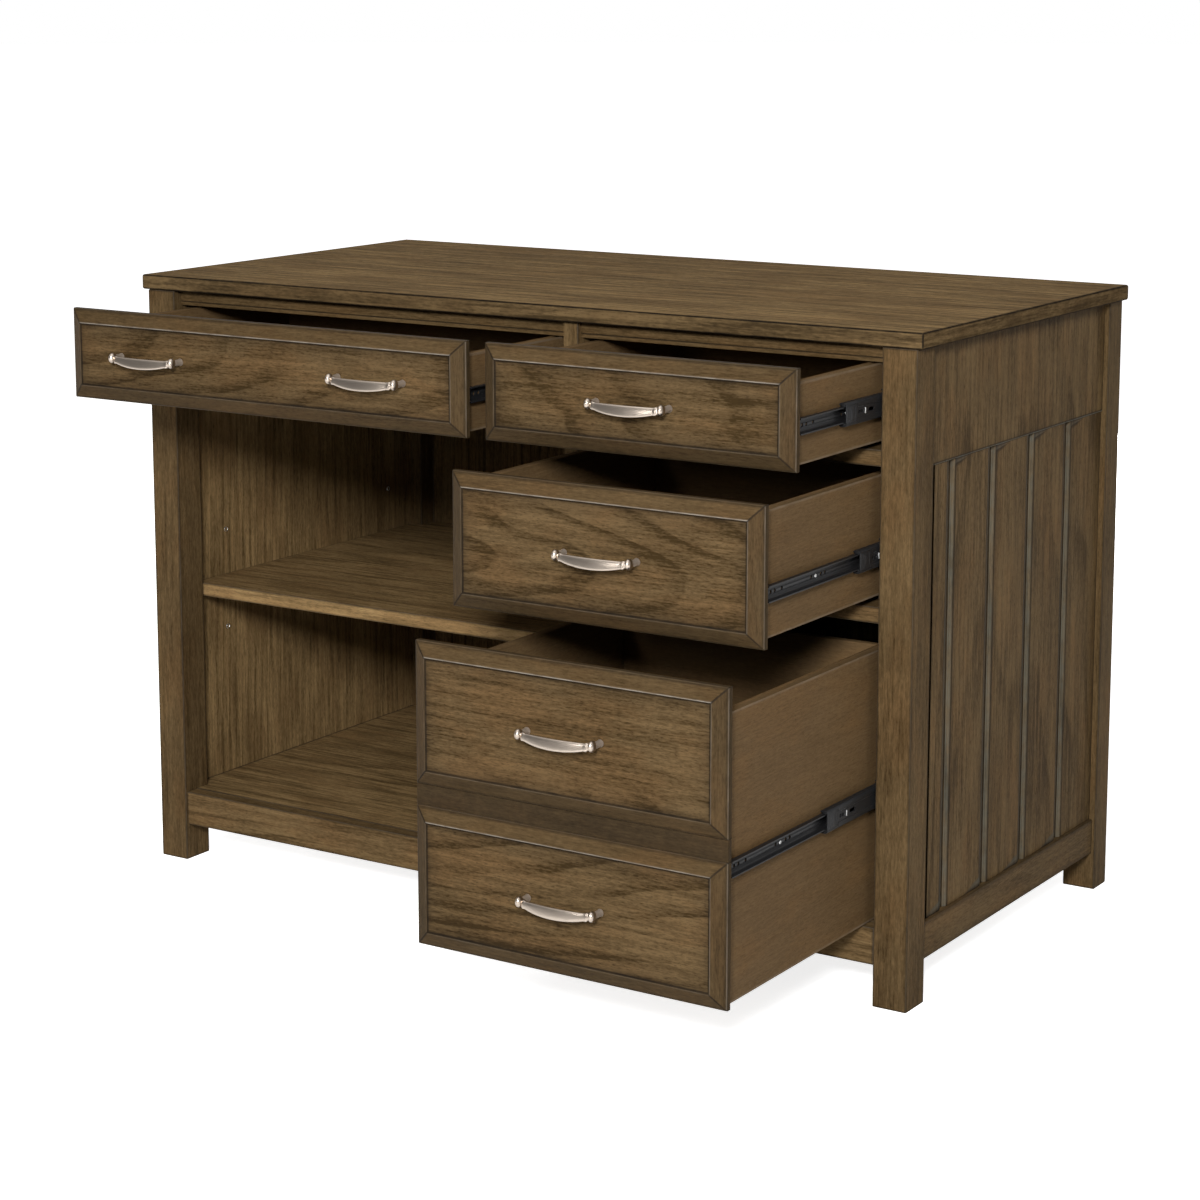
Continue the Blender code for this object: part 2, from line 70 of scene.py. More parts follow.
def colour(name, value, text):
    """A colour that the user can change."""
    return FloatVectorProperty(name=name, description=text, subtype="COLOR", size=3, min=0.0, max=1.0,
                               default=value)


def length(name, value, text):
    """A length that the user can change."""
    return FloatProperty(name=name, description=text, subtype="DISTANCE", unit="LENGTH", min=0.0,
                         precision=5, default=value)


def amount(name, value, text):
    """A plain number that the user can change."""
    return FloatProperty(name=name, description=text, min=0.0, max=1.0, default=value)


class CredenzaFinish(bpy.types.PropertyGroup):
    """Stains and metals, with the colours that paint glaze, shade, wear and highlight."""
    stain_light: colour("Light stain", (0.111, 0.072, 0.033), "Early wood under the stain")
    warm: colour("Warm stain", (0.120, 0.068, 0.028), "Redder patches of the stain")
    stain_dark: colour("Dark stain", (0.033, 0.020, 0.008), "Late wood and streaks under the stain")
    top_light: colour("Top light stain", (0.212, 0.138, 0.062), "Early wood of the worktop")
    top_dark: colour("Top dark stain", (0.068, 0.043, 0.018), "Late wood of the worktop")
    box_light: colour("Box light stain", (0.103, 0.065, 0.031), "Drawer box wood, lighter streaks")
    box_dark: colour("Box dark stain", (0.061, 0.037, 0.017), "Drawer box wood, darker streaks")
    # Dark colour for real glaze in mitres and grooves, and for painted shade: the darker borders, the line
    # below each front's rim, the worktop's sides and the rows under the side panels' upper board.
    glaze: colour("Glaze", (0.009, 0.007, 0.005), "Dark glaze left in corners, mitres and grooves")
    # Pale colour for rubbed edges and for painted highlights: the line along each front's crest and outer
    # arris, and along the boards' edges.
    wash_and_highlight: colour("Grey wash", (0.300, 0.275, 0.235), "Greyish wash on rubbed edges")
    # Also the painted highlight along the upper side board's lower arris and in the grooves.
    wax_and_highlight: colour("Grey wax", (0.070, 0.073, 0.062), "Milky wax left in the side panels' grooves")
    nickel: colour("Satin nickel", (0.400, 0.340, 0.285), "The pulls")
    zinc: colour("Black zinc", (0.009, 0.009, 0.0095), "The slides")
    bright_zinc: colour("Bright zinc", (0.560, 0.560, 0.550), "Screws, pins and balls")
    plastic: colour("Black plastic", (0.007, 0.007, 0.0075), "Latch blocks and ball cages")
    sheen: amount("Wood roughness", 0.50, "Roughness of the lacquer on the wood")


class CredenzaSizes(bpy.types.PropertyGroup):
    """Sizes of the fine shapes that the solids leave out or only hint at."""
    border: length("Border width", 0.0165, "Sloping border of a drawer front")
    edge: length("Border edge", 0.0076, "Thickness of a drawer front at its outer edge")
    step: length("Field step", 0.0015, "How far the flat field lies behind the rim")
    mitre: length("Mitre line", 0.0009, "Half width of the line at each mitre")
    strip: length("Dividing strip", 0.024, "Height of the flat strip between the two faux fronts")
    groove_depth: length("Groove depth", 0.0042, "Depth of the grooves between the side boards")
    groove_slope: length("Groove slope", 0.014, "Width of a groove's gentle side")
    groove_lip: length("Groove lip", 0.0045, "Width of a groove's steep side")
    board: length("Board width", 0.107, "Spacing of the side boards")
    last_board: length("Last board", 0.098, "From the last groove to the rear post")
    upper_proud: length("Upper board", 0.0015, "How far the upper side board stands proud")
    upper_height: length("Upper board height", 0.1365, "Height of the plain board over the grooves")
    panel: length("Panel thickness", 0.0155, "Thickness of the side panels")
    cleat: length("Cleat height", 0.045, "Height of the strips that carry the slides")
    box_side: length("Box side", 0.012, "Thickness of a drawer box's walls")
    box_round: length("Box corner", 0.009, "Radius of the sides' upper front corner")
    box_drop: length("Box back drop", 0.004, "How far a box's back is lower than its sides")
    knob: length("Bead radius", 0.0062, "Radius of the flat beads at the pulls' ends")
    knob_half: length("Bead half thickness", 0.0041, "Half thickness of the beads")
    knob_out: length("Bead distance", 0.0158, "From a drawer front to the middle of a bead")
    bow: length("Bow height", 0.0123, "Height of the pulls' bow at its middle")
    bow_end: length("Bow end height", 0.0050, "Height of the bow where it meets its posts")
    bow_drop: length("Bow drop", 0.0036, "How far the bow's middle hangs below its posts")
    sheet: length("Slide sheet", 0.0013, "Thickness of the slides' steel")
    screw: length("Screw head", 0.0030, "Radius of the screw heads on the slides")


class CredenzaStage(bpy.types.PropertyGroup):
    """Camera, lamps and floor."""
    eye: FloatVectorProperty(name="Camera place", description="Where the camera stands", size=3,
                             subtype="TRANSLATION", default=(1.95050, -2.92215, 1.16940))
    turn: FloatProperty(name="Camera turn", description="Turn about the upright axis", subtype="ANGLE",
                        default=math.radians(32.731))
    tilt: FloatProperty(name="Camera tilt", description="How far the camera looks down", subtype="ANGLE",
                        default=math.radians(9.516))
    lens: FloatProperty(name="Lens", description="Focal length in millimetres", default=87.063)
    shift: FloatProperty(name="Shift", description="Upright shift of the view", default=-0.125)
    key: FloatProperty(name="Key lamp", description="Power of the lamp in front at the right", default=262.0)
    over: FloatProperty(name="Top lamp", description="Power of the lamp overhead", default=28.0)
    side: FloatProperty(name="Side lamp", description="Power of the lamp at the right", default=3.0)
    fill: FloatProperty(name="Fill lamp", description="Power of the small lamp in front", default=11.0)
    rear: FloatProperty(name="Back lamp", description="Power of the low lamps behind and at the left",
                        default=90.0)
    sky: FloatProperty(name="Ambient", description="Strength of the even light all round", default=0.17)


def settings():
    """The three groups of settings that the scene holds."""
    scene = bpy.context.scene
    return scene.credenza_finish, scene.credenza_sizes, scene.credenza_stage


# ---------------------------------------------------------------- shader helpers

class Tree:
    """A few short ways to write nodes down."""

    def __init__(self, tree):
        self.tree = tree

    def add(self, kind, **values):
        made = self.tree.nodes.new(kind)
        for key, value in values.items():
            setattr(made, key, value)
        return made

    def put(self, socket, value):
        if isinstance(value, bpy.types.NodeSocket):
            self.tree.links.new(value, socket)
        elif socket.type == "RGBA":
            socket.default_value = (*value[:3], 1.0)
        else:
            socket.default_value = value

    def math(self, operation, first, second=None, clamp=False):
        made = self.add("ShaderNodeMath", operation=operation, use_clamp=clamp)
        self.put(made.inputs[0], first)
        if second is not None:
            self.put(made.inputs[1], second)
        return made.outputs[0]

    def times(self, first, second, clamp=False):
        return self.math("MULTIPLY", first, second, clamp)

    def plus(self, first, second, clamp=False):
        return self.math("ADD", first, second, clamp)

    def larger(self, first, second):
        return self.math("MAXIMUM", first, second)

    def smaller(self, first, second):
        return self.math("MINIMUM", first, second)

    def split(self, vector):
        """The three parts of a vector."""
        made = self.add("ShaderNodeSeparateXYZ")
        self.put(made.inputs[0], vector)
        return made.outputs

    def vector(self, operation, first, second=None):
        made = self.add("ShaderNodeVectorMath", operation=operation)
        self.put(made.inputs[0], first)
        if second is not None:
            self.put(made.inputs[1], second)
        return made.outputs["Value" if operation == "LENGTH" else "Vector"]

    def mix(self, share, first, second):
        made = self.add("ShaderNodeMix", data_type="RGBA", blend_type="MIX")
        self.put(made.inputs[0], share)
        self.put(made.inputs[6], first)
        self.put(made.inputs[7], second)
        return made.outputs[2]

    def noise(self, place, stretch, detail=2.0, roughness=0.5):
        made = self.add("ShaderNodeTexNoise")
        self.put(made.inputs["Vector"], self.vector("MULTIPLY", place, stretch))
        made.inputs["Scale"].default_value = 1.0
        made.inputs["Detail"].default_value = detail
        made.inputs["Roughness"].default_value = roughness
        return made.outputs["Fac"]

    def span(self, value, low, high, to_low=0.0, to_high=1.0):
        made = self.add("ShaderNodeMapRange", interpolation_type="SMOOTHSTEP")
        for number, part in enumerate((value, low, high, to_low, to_high)):
            self.put(made.inputs[number], part)
        return made.outputs[0]


def new_group(name, inputs, outputs):
    """A shader node group with named sockets. Returns its tree, its inputs and its output node."""
    made = bpy.data.node_groups.new(name, "ShaderNodeTree")
    kinds = {"v": "NodeSocketVector", "f": "NodeSocketFloat", "c": "NodeSocketColor"}
    for label, kind, value in inputs:
        socket = made.interface.new_socket(label, in_out="INPUT", socket_type=kinds[kind])
        socket.default_value = (*value, 1.0) if kind == "c" else value
    for label, kind in outputs:
        made.interface.new_socket(label, in_out="OUTPUT", socket_type=kinds[kind])
    tree = Tree(made)
    return tree, tree.add("NodeGroupInput").outputs, tree.add("NodeGroupOutput").inputs


def build_grain_group():
    """Wood cut from a log: curved growth rings, streaks, open pores and cloudy stain."""
    tree, given, result = new_group(
        "Wood grain",
        [("Vector", "v", (0, 0, 0)), ("Light", "c", (0.15, 0.10, 0.06)), ("Dark", "c", (0.05, 0.03, 0.02)),
         ("Warm", "c", (0.16, 0.09, 0.03)), ("Figure", "f", 0.5), ("Streaks", "f", 1.9), ("Bend", "f", 0.03),
         ("Lines", "f", -0.35), ("Spacing", "f", 0.007), ("Tilt", "f", 0.035), ("Pores", "f", 0.5),
         ("Fibres", "f", 0.9), ("Cloud", "f", 0.5), ("Roughness", "f", 0.45)],
        [("Color", "c"), ("Height", "f"), ("Roughness", "f")])
    place = given["Vector"]
    bend = tree.noise(place, (1.4, 5.0, 5.0), 2.0)
    wander = tree.noise(place, (4.0, 26.0, 26.0), 2.0)
    along, depth, across = tree.split(place)
    lean = tree.times(along, given["Tilt"])
    push = tree.times(tree.math("SUBTRACT", bend, 0.5), given["Bend"])
    deep = tree.plus(tree.plus(depth, lean), push)
    wide = tree.plus(tree.times(across, 0.62), tree.times(push, 0.5))
    ring = tree.math("SQRT", tree.plus(tree.times(deep, deep),
                                       tree.times(wide, wide)))
    count = tree.plus(tree.math("DIVIDE", ring, given["Spacing"]),
                      tree.times(wander, 0.7))
    saw = tree.math("FRACT", count)
    late = tree.times(tree.span(saw, 0.52, 0.90), tree.span(saw, 1.0, 0.92))
    fade = tree.span(tree.noise(place, (2.4, 13.0, 13.0), 1.0), 0.34, 0.62, 0.15, 1.0)
    late = tree.times(late, fade)
    streak = tree.noise(place, (9.0, 185.0, 185.0), 3.0, 0.60)
    mineral = tree.span(tree.noise(place, (4.5, 120.0, 120.0), 2.0, 0.5), 0.60, 0.74)
    fibre = tree.noise(place, (55.0, 700.0, 700.0), 2.0, 0.6)
    fleck = tree.noise(place, (130.0, 420.0, 420.0), 2.0, 0.6)
    pore = tree.span(tree.noise(place, (170.0, 1150.0, 1150.0), 1.0, 0.4), 0.58, 0.70)
    cloud = tree.noise(place, (5.0, 17.0, 17.0), 3.0, 0.55)
    shade = tree.times(tree.math("SUBTRACT", 0.25, late), given["Figure"])
    for value, share in ((streak, given["Streaks"]), (fibre, given["Fibres"]), (fleck, given["Fibres"]),
                         (cloud, tree.times(given["Cloud"], 1.9))):
        shade = tree.plus(shade, tree.times(tree.math("SUBTRACT", value, 0.5), share))
    shade = tree.plus(shade, tree.times(mineral, given["Lines"]))
    shade = tree.plus(shade, 0.5, clamp=True)
    redder = tree.span(tree.noise(place, (9.0, 24.0, 24.0), 3.0, 0.6), 0.42, 0.66, 0.0, 0.55)
    body = tree.mix(shade, given["Dark"], tree.mix(redder, given["Light"], given["Warm"]))
    dark_pore = tree.times(pore, given["Pores"])
    tree.put(result["Color"], tree.mix(dark_pore, body, tree.mix(0.62, body, (0.006, 0.004, 0.003))))
    low = tree.plus(tree.times(pore, -1.0), tree.times(late, -0.25))
    tree.put(result["Height"], tree.plus(low, tree.times(fibre, 0.5)))
    rough = tree.plus(given["Roughness"],
                      tree.times(tree.math("SUBTRACT", streak, 0.5), 0.16))
    tree.put(result["Roughness"], tree.plus(rough, tree.times(pore, 0.12)))


def build_edge_group():
    """How near a point on a straight board is to one of its edges."""
    tree, given, result = new_group(
        "Board edges", [("Vector", "v", (0, 0, 0)), ("Centre", "v", (0, 0, 0)), ("Half", "v", (1, 1, 1)),
                        ("Width", "f", 0.004)], [("Mask", "f")])
    away = tree.vector("SUBTRACT", given["Half"],
                       tree.vector("ABSOLUTE", tree.vector("SUBTRACT", given["Vector"], given["Centre"])))
    a, b, c = tree.split(away)
    middle = tree.larger(tree.smaller(a, b),
                       tree.smaller(tree.larger(a, b), c))
    tree.put(result["Mask"], tree.span(middle, 0.0, given["Width"], 1.0, 0.0))


def build_glaze_group():
    """Dark glaze and painted shade laid unevenly where the mask says, and a grey rub and painted highlight
    where the wear mask says.
    """
    tree, given, result = new_group(
        "Glaze and wear",
        [("Color", "c", (0.1, 0.1, 0.1)), ("Vector", "v", (0, 0, 0)), ("Glaze", "c", (0.01, 0.01, 0.01)),
         ("Dust", "c", (0.2, 0.2, 0.2)), ("Mask", "f", 0.0), ("Wear", "f", 0.0), ("Strength", "f", 0.7)],
        [("Color", "c")])
    broken = tree.noise(given["Vector"], (60.0, 60.0, 60.0), 3.0, 0.6)
    uneven = tree.span(broken, 0.25, 0.72, 0.82, 1.0)
    share = tree.times(tree.times(given["Mask"], uneven), given["Strength"], clamp=True)
    dark = tree.mix(share, given["Color"], given["Glaze"])
    rubbed = tree.span(tree.noise(given["Vector"], (45.0, 45.0, 45.0), 2.0), 0.35, 0.65, 0.55, 1.0)
    wear = tree.times(given["Wear"], rubbed, clamp=True)
    tree.put(result["Color"], tree.mix(wear, dark, given["Dust"]))


def build_metal_group():
    """Fine brushing, smudges and a little dirt on metal."""
    tree, given, result = new_group(
        "Brushed metal",
        [("Vector", "v", (0, 0, 0)), ("Color", "c", (0.6, 0.6, 0.6)), ("Roughness", "f", 0.3),
         ("Brush", "f", 0.1), ("Tarnish", "f", 0.2)],
        [("Color", "c"), ("Height", "f"), ("Roughness", "f")])
    lines = tree.noise(given["Vector"], (160.0, 900.0, 2600.0), 2.0, 0.7)
    smudge = tree.noise(given["Vector"], (45.0, 45.0, 45.0), 3.0, 0.6)
    offset = tree.times(tree.math("SUBTRACT", lines, 0.5), given["Brush"])
    rough = tree.plus(given["Roughness"], offset)
    tree.put(result["Roughness"], tree.plus(rough, tree.times(smudge, 0.08)))
    dull = tree.times(tree.span(smudge, 0.45, 0.75), given["Tarnish"])
    dulled = tree.mix(0.55, given["Color"], (0.03, 0.02, 0.015))
    tree.put(result["Color"], tree.mix(dull, given["Color"], dulled))
    tree.put(result["Height"], lines)


def place_group(tree, name, **values):
    """Put a node group into a material and set or link its inputs."""
    made = tree.add("ShaderNodeGroup", node_tree=bpy.data.node_groups[name])
    for label, value in values.items():
        tree.put(made.inputs[label], value)
    return made.outputs


def new_material(name):
    """A new material: returns it, its tree and its main shader."""
    made = bpy.data.materials.new(name)
    made.use_nodes = True
    return made, Tree(made.node_tree), made.node_tree.nodes["Principled BSDF"]


def add_bump(tree, shader, height, distance, strength=0.6):
    """Fine relief from a height."""
    bump = tree.add("ShaderNodeBump")
    bump.inputs["Strength"].default_value = strength
    bump.inputs["Distance"].default_value = distance
    tree.put(bump.inputs["Height"], height)
    tree.put(shader.inputs["Normal"], bump.outputs["Normal"])


def turned(tree, vector, grain, face):
    """Coordinates as (along the grain, into the face, across the face)."""
    parts = tree.split(vector)
    made = tree.add("ShaderNodeCombineXYZ")
    other = ({"x", "y", "z"} - {grain, face}).pop()
    for number, axis in enumerate((grain, face, other)):
        tree.put(made.inputs[number], parts["xyz".index(axis)])
    return made.outputs[0], other


def wood(name, grain, face, seed, box, tone="stain", pith=0.05, painted=False, boards=False, planks=0.0,
         gloss=0.014, scale=1.0, edge=0.0035, glaze=0.75, worn=0.10, rough=0.0, shade=1.0,
         capped=False, waxed=False, **look):
    """A board's own wood: grain along one axis, flat-sawn on one face, cut from its own place in the log."""
    finish = settings()[0]
    made, tree, shader = new_material(name)
    texture = tree.add("ShaderNodeTexCoord").outputs
    coords = texture["Object"]
    draw = random.Random(seed)
    vector, other = turned(tree, coords, grain, face)
    if capped:
        second = turned(tree, coords, face if face != "z" else "y", grain)[0]
        normal = tree.split(texture["Normal"])
        end = tree.math("GREATER_THAN", tree.math("ABSOLUTE", normal["xyz".index(grain)]), 0.6)
        shaded_flank = tree.math("LESS_THAN", tree.math("ABSOLUTE", normal["xyz".index(face)]), 0.6)
        blend = tree.add("ShaderNodeMix", data_type="VECTOR")
        tree.put(blend.inputs[0], end)
        tree.put(blend.inputs[4], vector)
        tree.put(blend.inputs[5], second)
        vector = blend.outputs[1]
    if boards or planks:
        if planks:
            number = tree.math("FLOOR", tree.math("DIVIDE", tree.split(coords)["xyz".index(other)], planks))
            if capped:
                number = tree.times(number, tree.math("SUBTRACT", 1.0, end))
        else:
            number = tree.add("ShaderNodeAttribute", attribute_name="board").outputs["Fac"]
        jump = tree.add("ShaderNodeCombineXYZ")
        tree.put(jump.inputs[0], tree.times(number, 3.71))
        tree.put(jump.inputs[1], tree.times(number, 0.0173))
        tree.put(jump.inputs[2], tree.times(number, 0.0117))
        vector = tree.vector("ADD", vector, jump.outputs[0])
    place = tree.add("ShaderNodeMapping")
    tree.put(place.inputs["Vector"], vector)
    place.inputs["Scale"].default_value = (scale, scale, scale)
    middle = (box[0] + box[1]) / 2 * scale
    place.inputs["Location"].default_value = (draw.uniform(-3, 3), pith - middle["xyz".index(face)],
                                              draw.uniform(-0.04, 0.04) - middle["xyz".index(other)])
    tones = {"stain": (finish.stain_light, finish.stain_dark), "top": (finish.top_light, finish.top_dark),
             "box": (finish.box_light, finish.box_dark)}[tone]
    # shade scales the three stains: above 1 it is painted light, below 1 painted shade, evening out how
    # brightly the lamps show each piece.
    light, dark, warm = ([part * shade for part in paint] for paint in (*tones, finish.warm))
    grown = place_group(tree, "Wood grain", Vector=place.outputs[0], Light=light, Dark=dark, Warm=warm,
                        Roughness=finish.sheen + rough, **{k.title(): v for k, v in look.items()})
    # Painted meshes carry glaze with painted shade and wear with painted highlight at their points; other
    # boards get glaze near their edges and a thin pale line on each arris, rubbed wear with painted highlight.
    if painted:
        mask = tree.add("ShaderNodeAttribute", attribute_name="glaze").outputs["Fac"]
        wear = tree.add("ShaderNodeAttribute", attribute_name="wear").outputs["Fac"]
    else:
        near = {"Vector": coords, "Centre": (box[0] + box[1]) / 2, "Half": (box[1] - box[0]) / 2}
        mask = place_group(tree, "Board edges", Width=edge, **near)["Mask"]
        rim = place_group(tree, "Board edges", Width=0.0014, **near)["Mask"]
        wear = tree.times(rim, worn)
        # The worktop's upright sides are darkened too: painted shade, so they read darker than its top.
        if capped:
            mask = tree.larger(mask, tree.times(shaded_flank, 0.45))
    dressed = place_group(tree, "Glaze and wear", Color=grown["Color"], Vector=coords, Glaze=finish.glaze,
                          Dust=finish.wax_and_highlight if waxed else finish.wash_and_highlight, Mask=mask, Wear=wear, Strength=glaze)
    tree.put(shader.inputs["Base Color"], dressed["Color"])
    tree.put(shader.inputs["Roughness"], grown["Roughness"])
    shader.inputs["Specular IOR Level"].default_value = gloss
    add_bump(tree, shader, grown["Height"], 0.00012, 0.55)
    return made


PLAIN = {"figure": 0.06, "streaks": 0.7, "lines": 0.0, "cloud": 0.35, "pores": 0.30}
CALM = {"figure": 0.12, "streaks": 0.9, "lines": -0.05, "cloud": 0.40, "pores": 0.30}


def metal(name, tint, roughness, brush=0.1, tarnish=0.2, metallic=1.0, bump=0.00003, gloss=0.5):
    """A brushed or plated metal."""
    made, tree, shader = new_material(name)
    coords = tree.add("ShaderNodeTexCoord").outputs["Object"]
    shown = place_group(tree, "Brushed metal", Vector=coords, Color=tint, Roughness=roughness, Brush=brush,
                        Tarnish=tarnish)
    tree.put(shader.inputs["Base Color"], shown["Color"])
    tree.put(shader.inputs["Roughness"], shown["Roughness"])
    shader.inputs["Metallic"].default_value = metallic
    shader.inputs["Specular IOR Level"].default_value = gloss
    add_bump(tree, shader, shown["Height"], bump, 0.4)
    return made


def find_metal(name, *values, **named):
    """A metal by name, made the first time that it is asked for."""
    return bpy.data.materials.get(name) or metal(name, *values, **named)


def nickel():
    return find_metal("satin_nickel", settings()[0].nickel, 0.26, 0.03, 0.12, 1.0, 0.000001)


def turned_nickel():
    return find_metal("turned_nickel", settings()[0].nickel, 0.42, 0.03, 0.12, 0.80, 0.000001)


def black_zinc():
    return find_metal("black_zinc", settings()[0].zinc, 0.34, 0.10, 0.1, 0.0, gloss=0.14)


def bright_zinc():
    return find_metal("bright_zinc", settings()[0].bright_zinc, 0.30, 0.08, 0.3)


def plastic():
    return find_metal("black_plastic", settings()[0].plastic, 0.46, 0.05, 0.0, 0.0, gloss=0.2)


# ---------------------------------------------------------------- mesh helpers

def smooth(mesh, angle):
    """Shade smoothly, except at edges sharper than an angle in degrees."""
    mesh.shade_smooth()
    mesh.set_sharp_from_angle(angle=math.radians(angle))


def mesh_from(name, bm, materials=(), angle=None, recalc=True):
    """Turn a bmesh into a mesh and free it."""
    if recalc:
        bmesh.ops.recalc_face_normals(bm, faces=bm.faces)
    mesh = bpy.data.meshes.new(name)
    bm.to_mesh(mesh)
    bm.free()
    for material in materials:
        mesh.materials.append(material)
    if angle:
        smooth(mesh, angle)
    return mesh


def show(name, mesh):
    """An object of a mesh, put into the scene."""
    item = bpy.data.objects.new(name, mesh)
    bpy.context.scene.collection.objects.link(item)
    return item


def fit_out(item, body, replaced=()):
    """Let a piece ride on a body and the solids that it stands for."""
    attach(item, body)
    if replaced:
        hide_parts(*replaced)
    return item


def add_piece(name, bm, materials, body, replaced=(), angle=38.0):
    """Turn a bmesh into a finished piece that rides on a body."""
    return fit_out(show(name, mesh_from(name, bm, materials, angle)), body, replaced)


def paint_layers(bm):
    """The three numbers that a wood mesh carries: glaze with painted shade, wear with painted highlight, and
    which board.
    """
    layers = bm.verts.layers.float
    return [layers.get(word) or layers.new(word) for word in ("glaze", "wear", "board")]


def painted(bm, layers, place, *values):
    """A point with its glaze and shade, wear and highlight, and board numbers."""
    vert = bm.verts.new(place)
    for layer, value in zip(layers, values):
        vert[layer] = value
    return vert


def add_board(bm, low, high, edge=0.0012, material=0, segments=3):
    """Add a straight board with rounded edges to a bmesh."""
    low, high = Vector(low), Vector(high)
    size = high - low
    start = len(bm.faces)
    made = bmesh.ops.create_cube(bm, size=1.0, matrix=Matrix.Translation((low + high) / 2)
                                 @ Matrix.Diagonal((*size, 1.0)))
    edges = list({e for v in made["verts"] for e in v.link_edges})
    if edge:
        bmesh.ops.bevel(bm, geom=edges, offset=edge, segments=segments, profile=0.5, affect="EDGES",
                        clamp_overlap=True)
    bm.faces.ensure_lookup_table()
    for face in bm.faces[start:]:
        face.material_index = material


def add_prism(bm, line, start, end, edge):
    """Push a closed (y, z) outline along x and round its sharp edges."""
    rings = [[bm.verts.new((x, y, z)) for y, z in line] for x in (start, end)]
    count = len(bm.faces)
    ring_faces(bm, rings[0], rings[1], 0)
    caps = [bm.faces.new(rings[0]), bm.faces.new(rings[1][::-1])]
    bm.faces.ensure_lookup_table()
    bmesh.ops.recalc_face_normals(bm, faces=bm.faces[count:])
    edges = [e for cap in caps for e in cap.edges]
    bmesh.ops.bevel(bm, geom=edges, offset=edge, segments=3, profile=0.5, affect="EDGES", clamp_overlap=True)


def ring_faces(bm, first, second, material):
    """Join two rings of the same number of points."""
    count = len(first)
    for number in range(count):
        after = (number + 1) % count
        chosen = material(number) if callable(material) else material
        bm.faces.new((first[number], first[after], second[after], second[number])).material_index = chosen


def skin(bm, rings, turned_over=False):
    """Join rings one after another and close both ends."""
    for first, second in zip(rings, rings[1:]):
        ring_faces(bm, first, second, 0)
    ends = (rings[0][::-1], rings[-1]) if turned_over else (rings[0], rings[-1][::-1])
    for end in ends:
        bm.faces.new(end)


def lathe(bm, outline, centre, axis, sides=24, material=0):
    """Turn an outline of (radius, distance) round an axis through centre. Axis is a unit vector."""
    axis = Vector(axis)
    side = axis.orthogonal().normalized()
    other = axis.cross(side)
    rings = []
    for radius, out in outline:
        middle = Vector(centre) + axis * out
        if radius < 1e-7:
            rings.append([bm.verts.new(middle)])
            continue
        rings.append([bm.verts.new(middle + radius * (side * math.cos(2 * math.pi * k / sides)
                                                      + other * math.sin(2 * math.pi * k / sides)))
                      for k in range(sides)])
    for first, second in zip(rings, rings[1:]):
        for k in range(sides):
            after = (k + 1) % sides
            if len(first) == 1:
                face = (first[0], second[after], second[k])
            elif len(second) == 1:
                face = (first[k], first[after], second[0])
            else:
                face = (first[k], first[after], second[after], second[k])
            bm.faces.new(face).material_index = material


def cover(node, material):
    """Give a solid that stays in view its finish."""
    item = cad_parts[node]
    item.data.materials.clear()
    item.data.materials.append(material)


# ---------------------------------------------------------------- geometry nodes

def build_scatter_tree():
    """Copies of one small part on a mesh's points, each turned about by chance, made into one mesh."""
    tree = bpy.data.node_groups.new("Parts on points", "GeometryNodeTree")
    face = tree.interface
    face.new_socket("Geometry", in_out="INPUT", socket_type="NodeSocketGeometry")
    face.new_socket("Part", in_out="INPUT", socket_type="NodeSocketObject")
    face.new_socket("Facing", in_out="INPUT", socket_type="NodeSocketRotation")
    size = face.new_socket("Size", in_out="INPUT", socket_type="NodeSocketFloat")
    size.default_value = 1.0
    turn = face.new_socket("Turn", in_out="INPUT", socket_type="NodeSocketFloat")
    turn.default_value = math.pi
    face.new_socket("Material", in_out="INPUT", socket_type="NodeSocketMaterial")
    face.new_socket("Geometry", in_out="OUTPUT", socket_type="NodeSocketGeometry")
    given = tree.nodes.new("NodeGroupInput").outputs
    end = tree.nodes.new("NodeGroupOutput")
    part = tree.nodes.new("GeometryNodeObjectInfo")
    part.inputs["As Instance"].default_value = True
    points = tree.nodes.new("GeometryNodeMeshToPoints")
    chance = tree.nodes.new("FunctionNodeRandomValue")
    chance.data_type = "FLOAT"
    chance.inputs["Seed"].default_value = 7
    spin = tree.nodes.new("FunctionNodeAxisAngleToRotation")
    spin.inputs["Axis"].default_value = (0.0, 0.0, 1.0)
    both = tree.nodes.new("FunctionNodeRotateRotation")
    both.rotation_space = "LOCAL"
    copies = tree.nodes.new("GeometryNodeInstanceOnPoints")
    real = tree.nodes.new("GeometryNodeRealizeInstances")
    finish = tree.nodes.new("GeometryNodeSetMaterial")
    link = tree.links.new
    link(given["Geometry"], points.inputs["Mesh"])
    link(given["Part"], part.inputs["Object"])
    link(given["Turn"], chance.inputs[3])
    link(chance.outputs[1], spin.inputs["Angle"])
    link(given["Facing"], both.inputs["Rotation"])
    link(spin.outputs[0], both.inputs["Rotate By"])
    link(points.outputs[0], copies.inputs["Points"])
    link(part.outputs["Geometry"], copies.inputs["Instance"])
    link(both.outputs[0], copies.inputs["Rotation"])
    link(given["Size"], copies.inputs["Scale"])
    link(copies.outputs[0], real.inputs[0])
    link(real.outputs[0], finish.inputs["Geometry"])
    link(given["Material"], finish.inputs["Material"])
    link(finish.outputs[0], end.inputs[0])


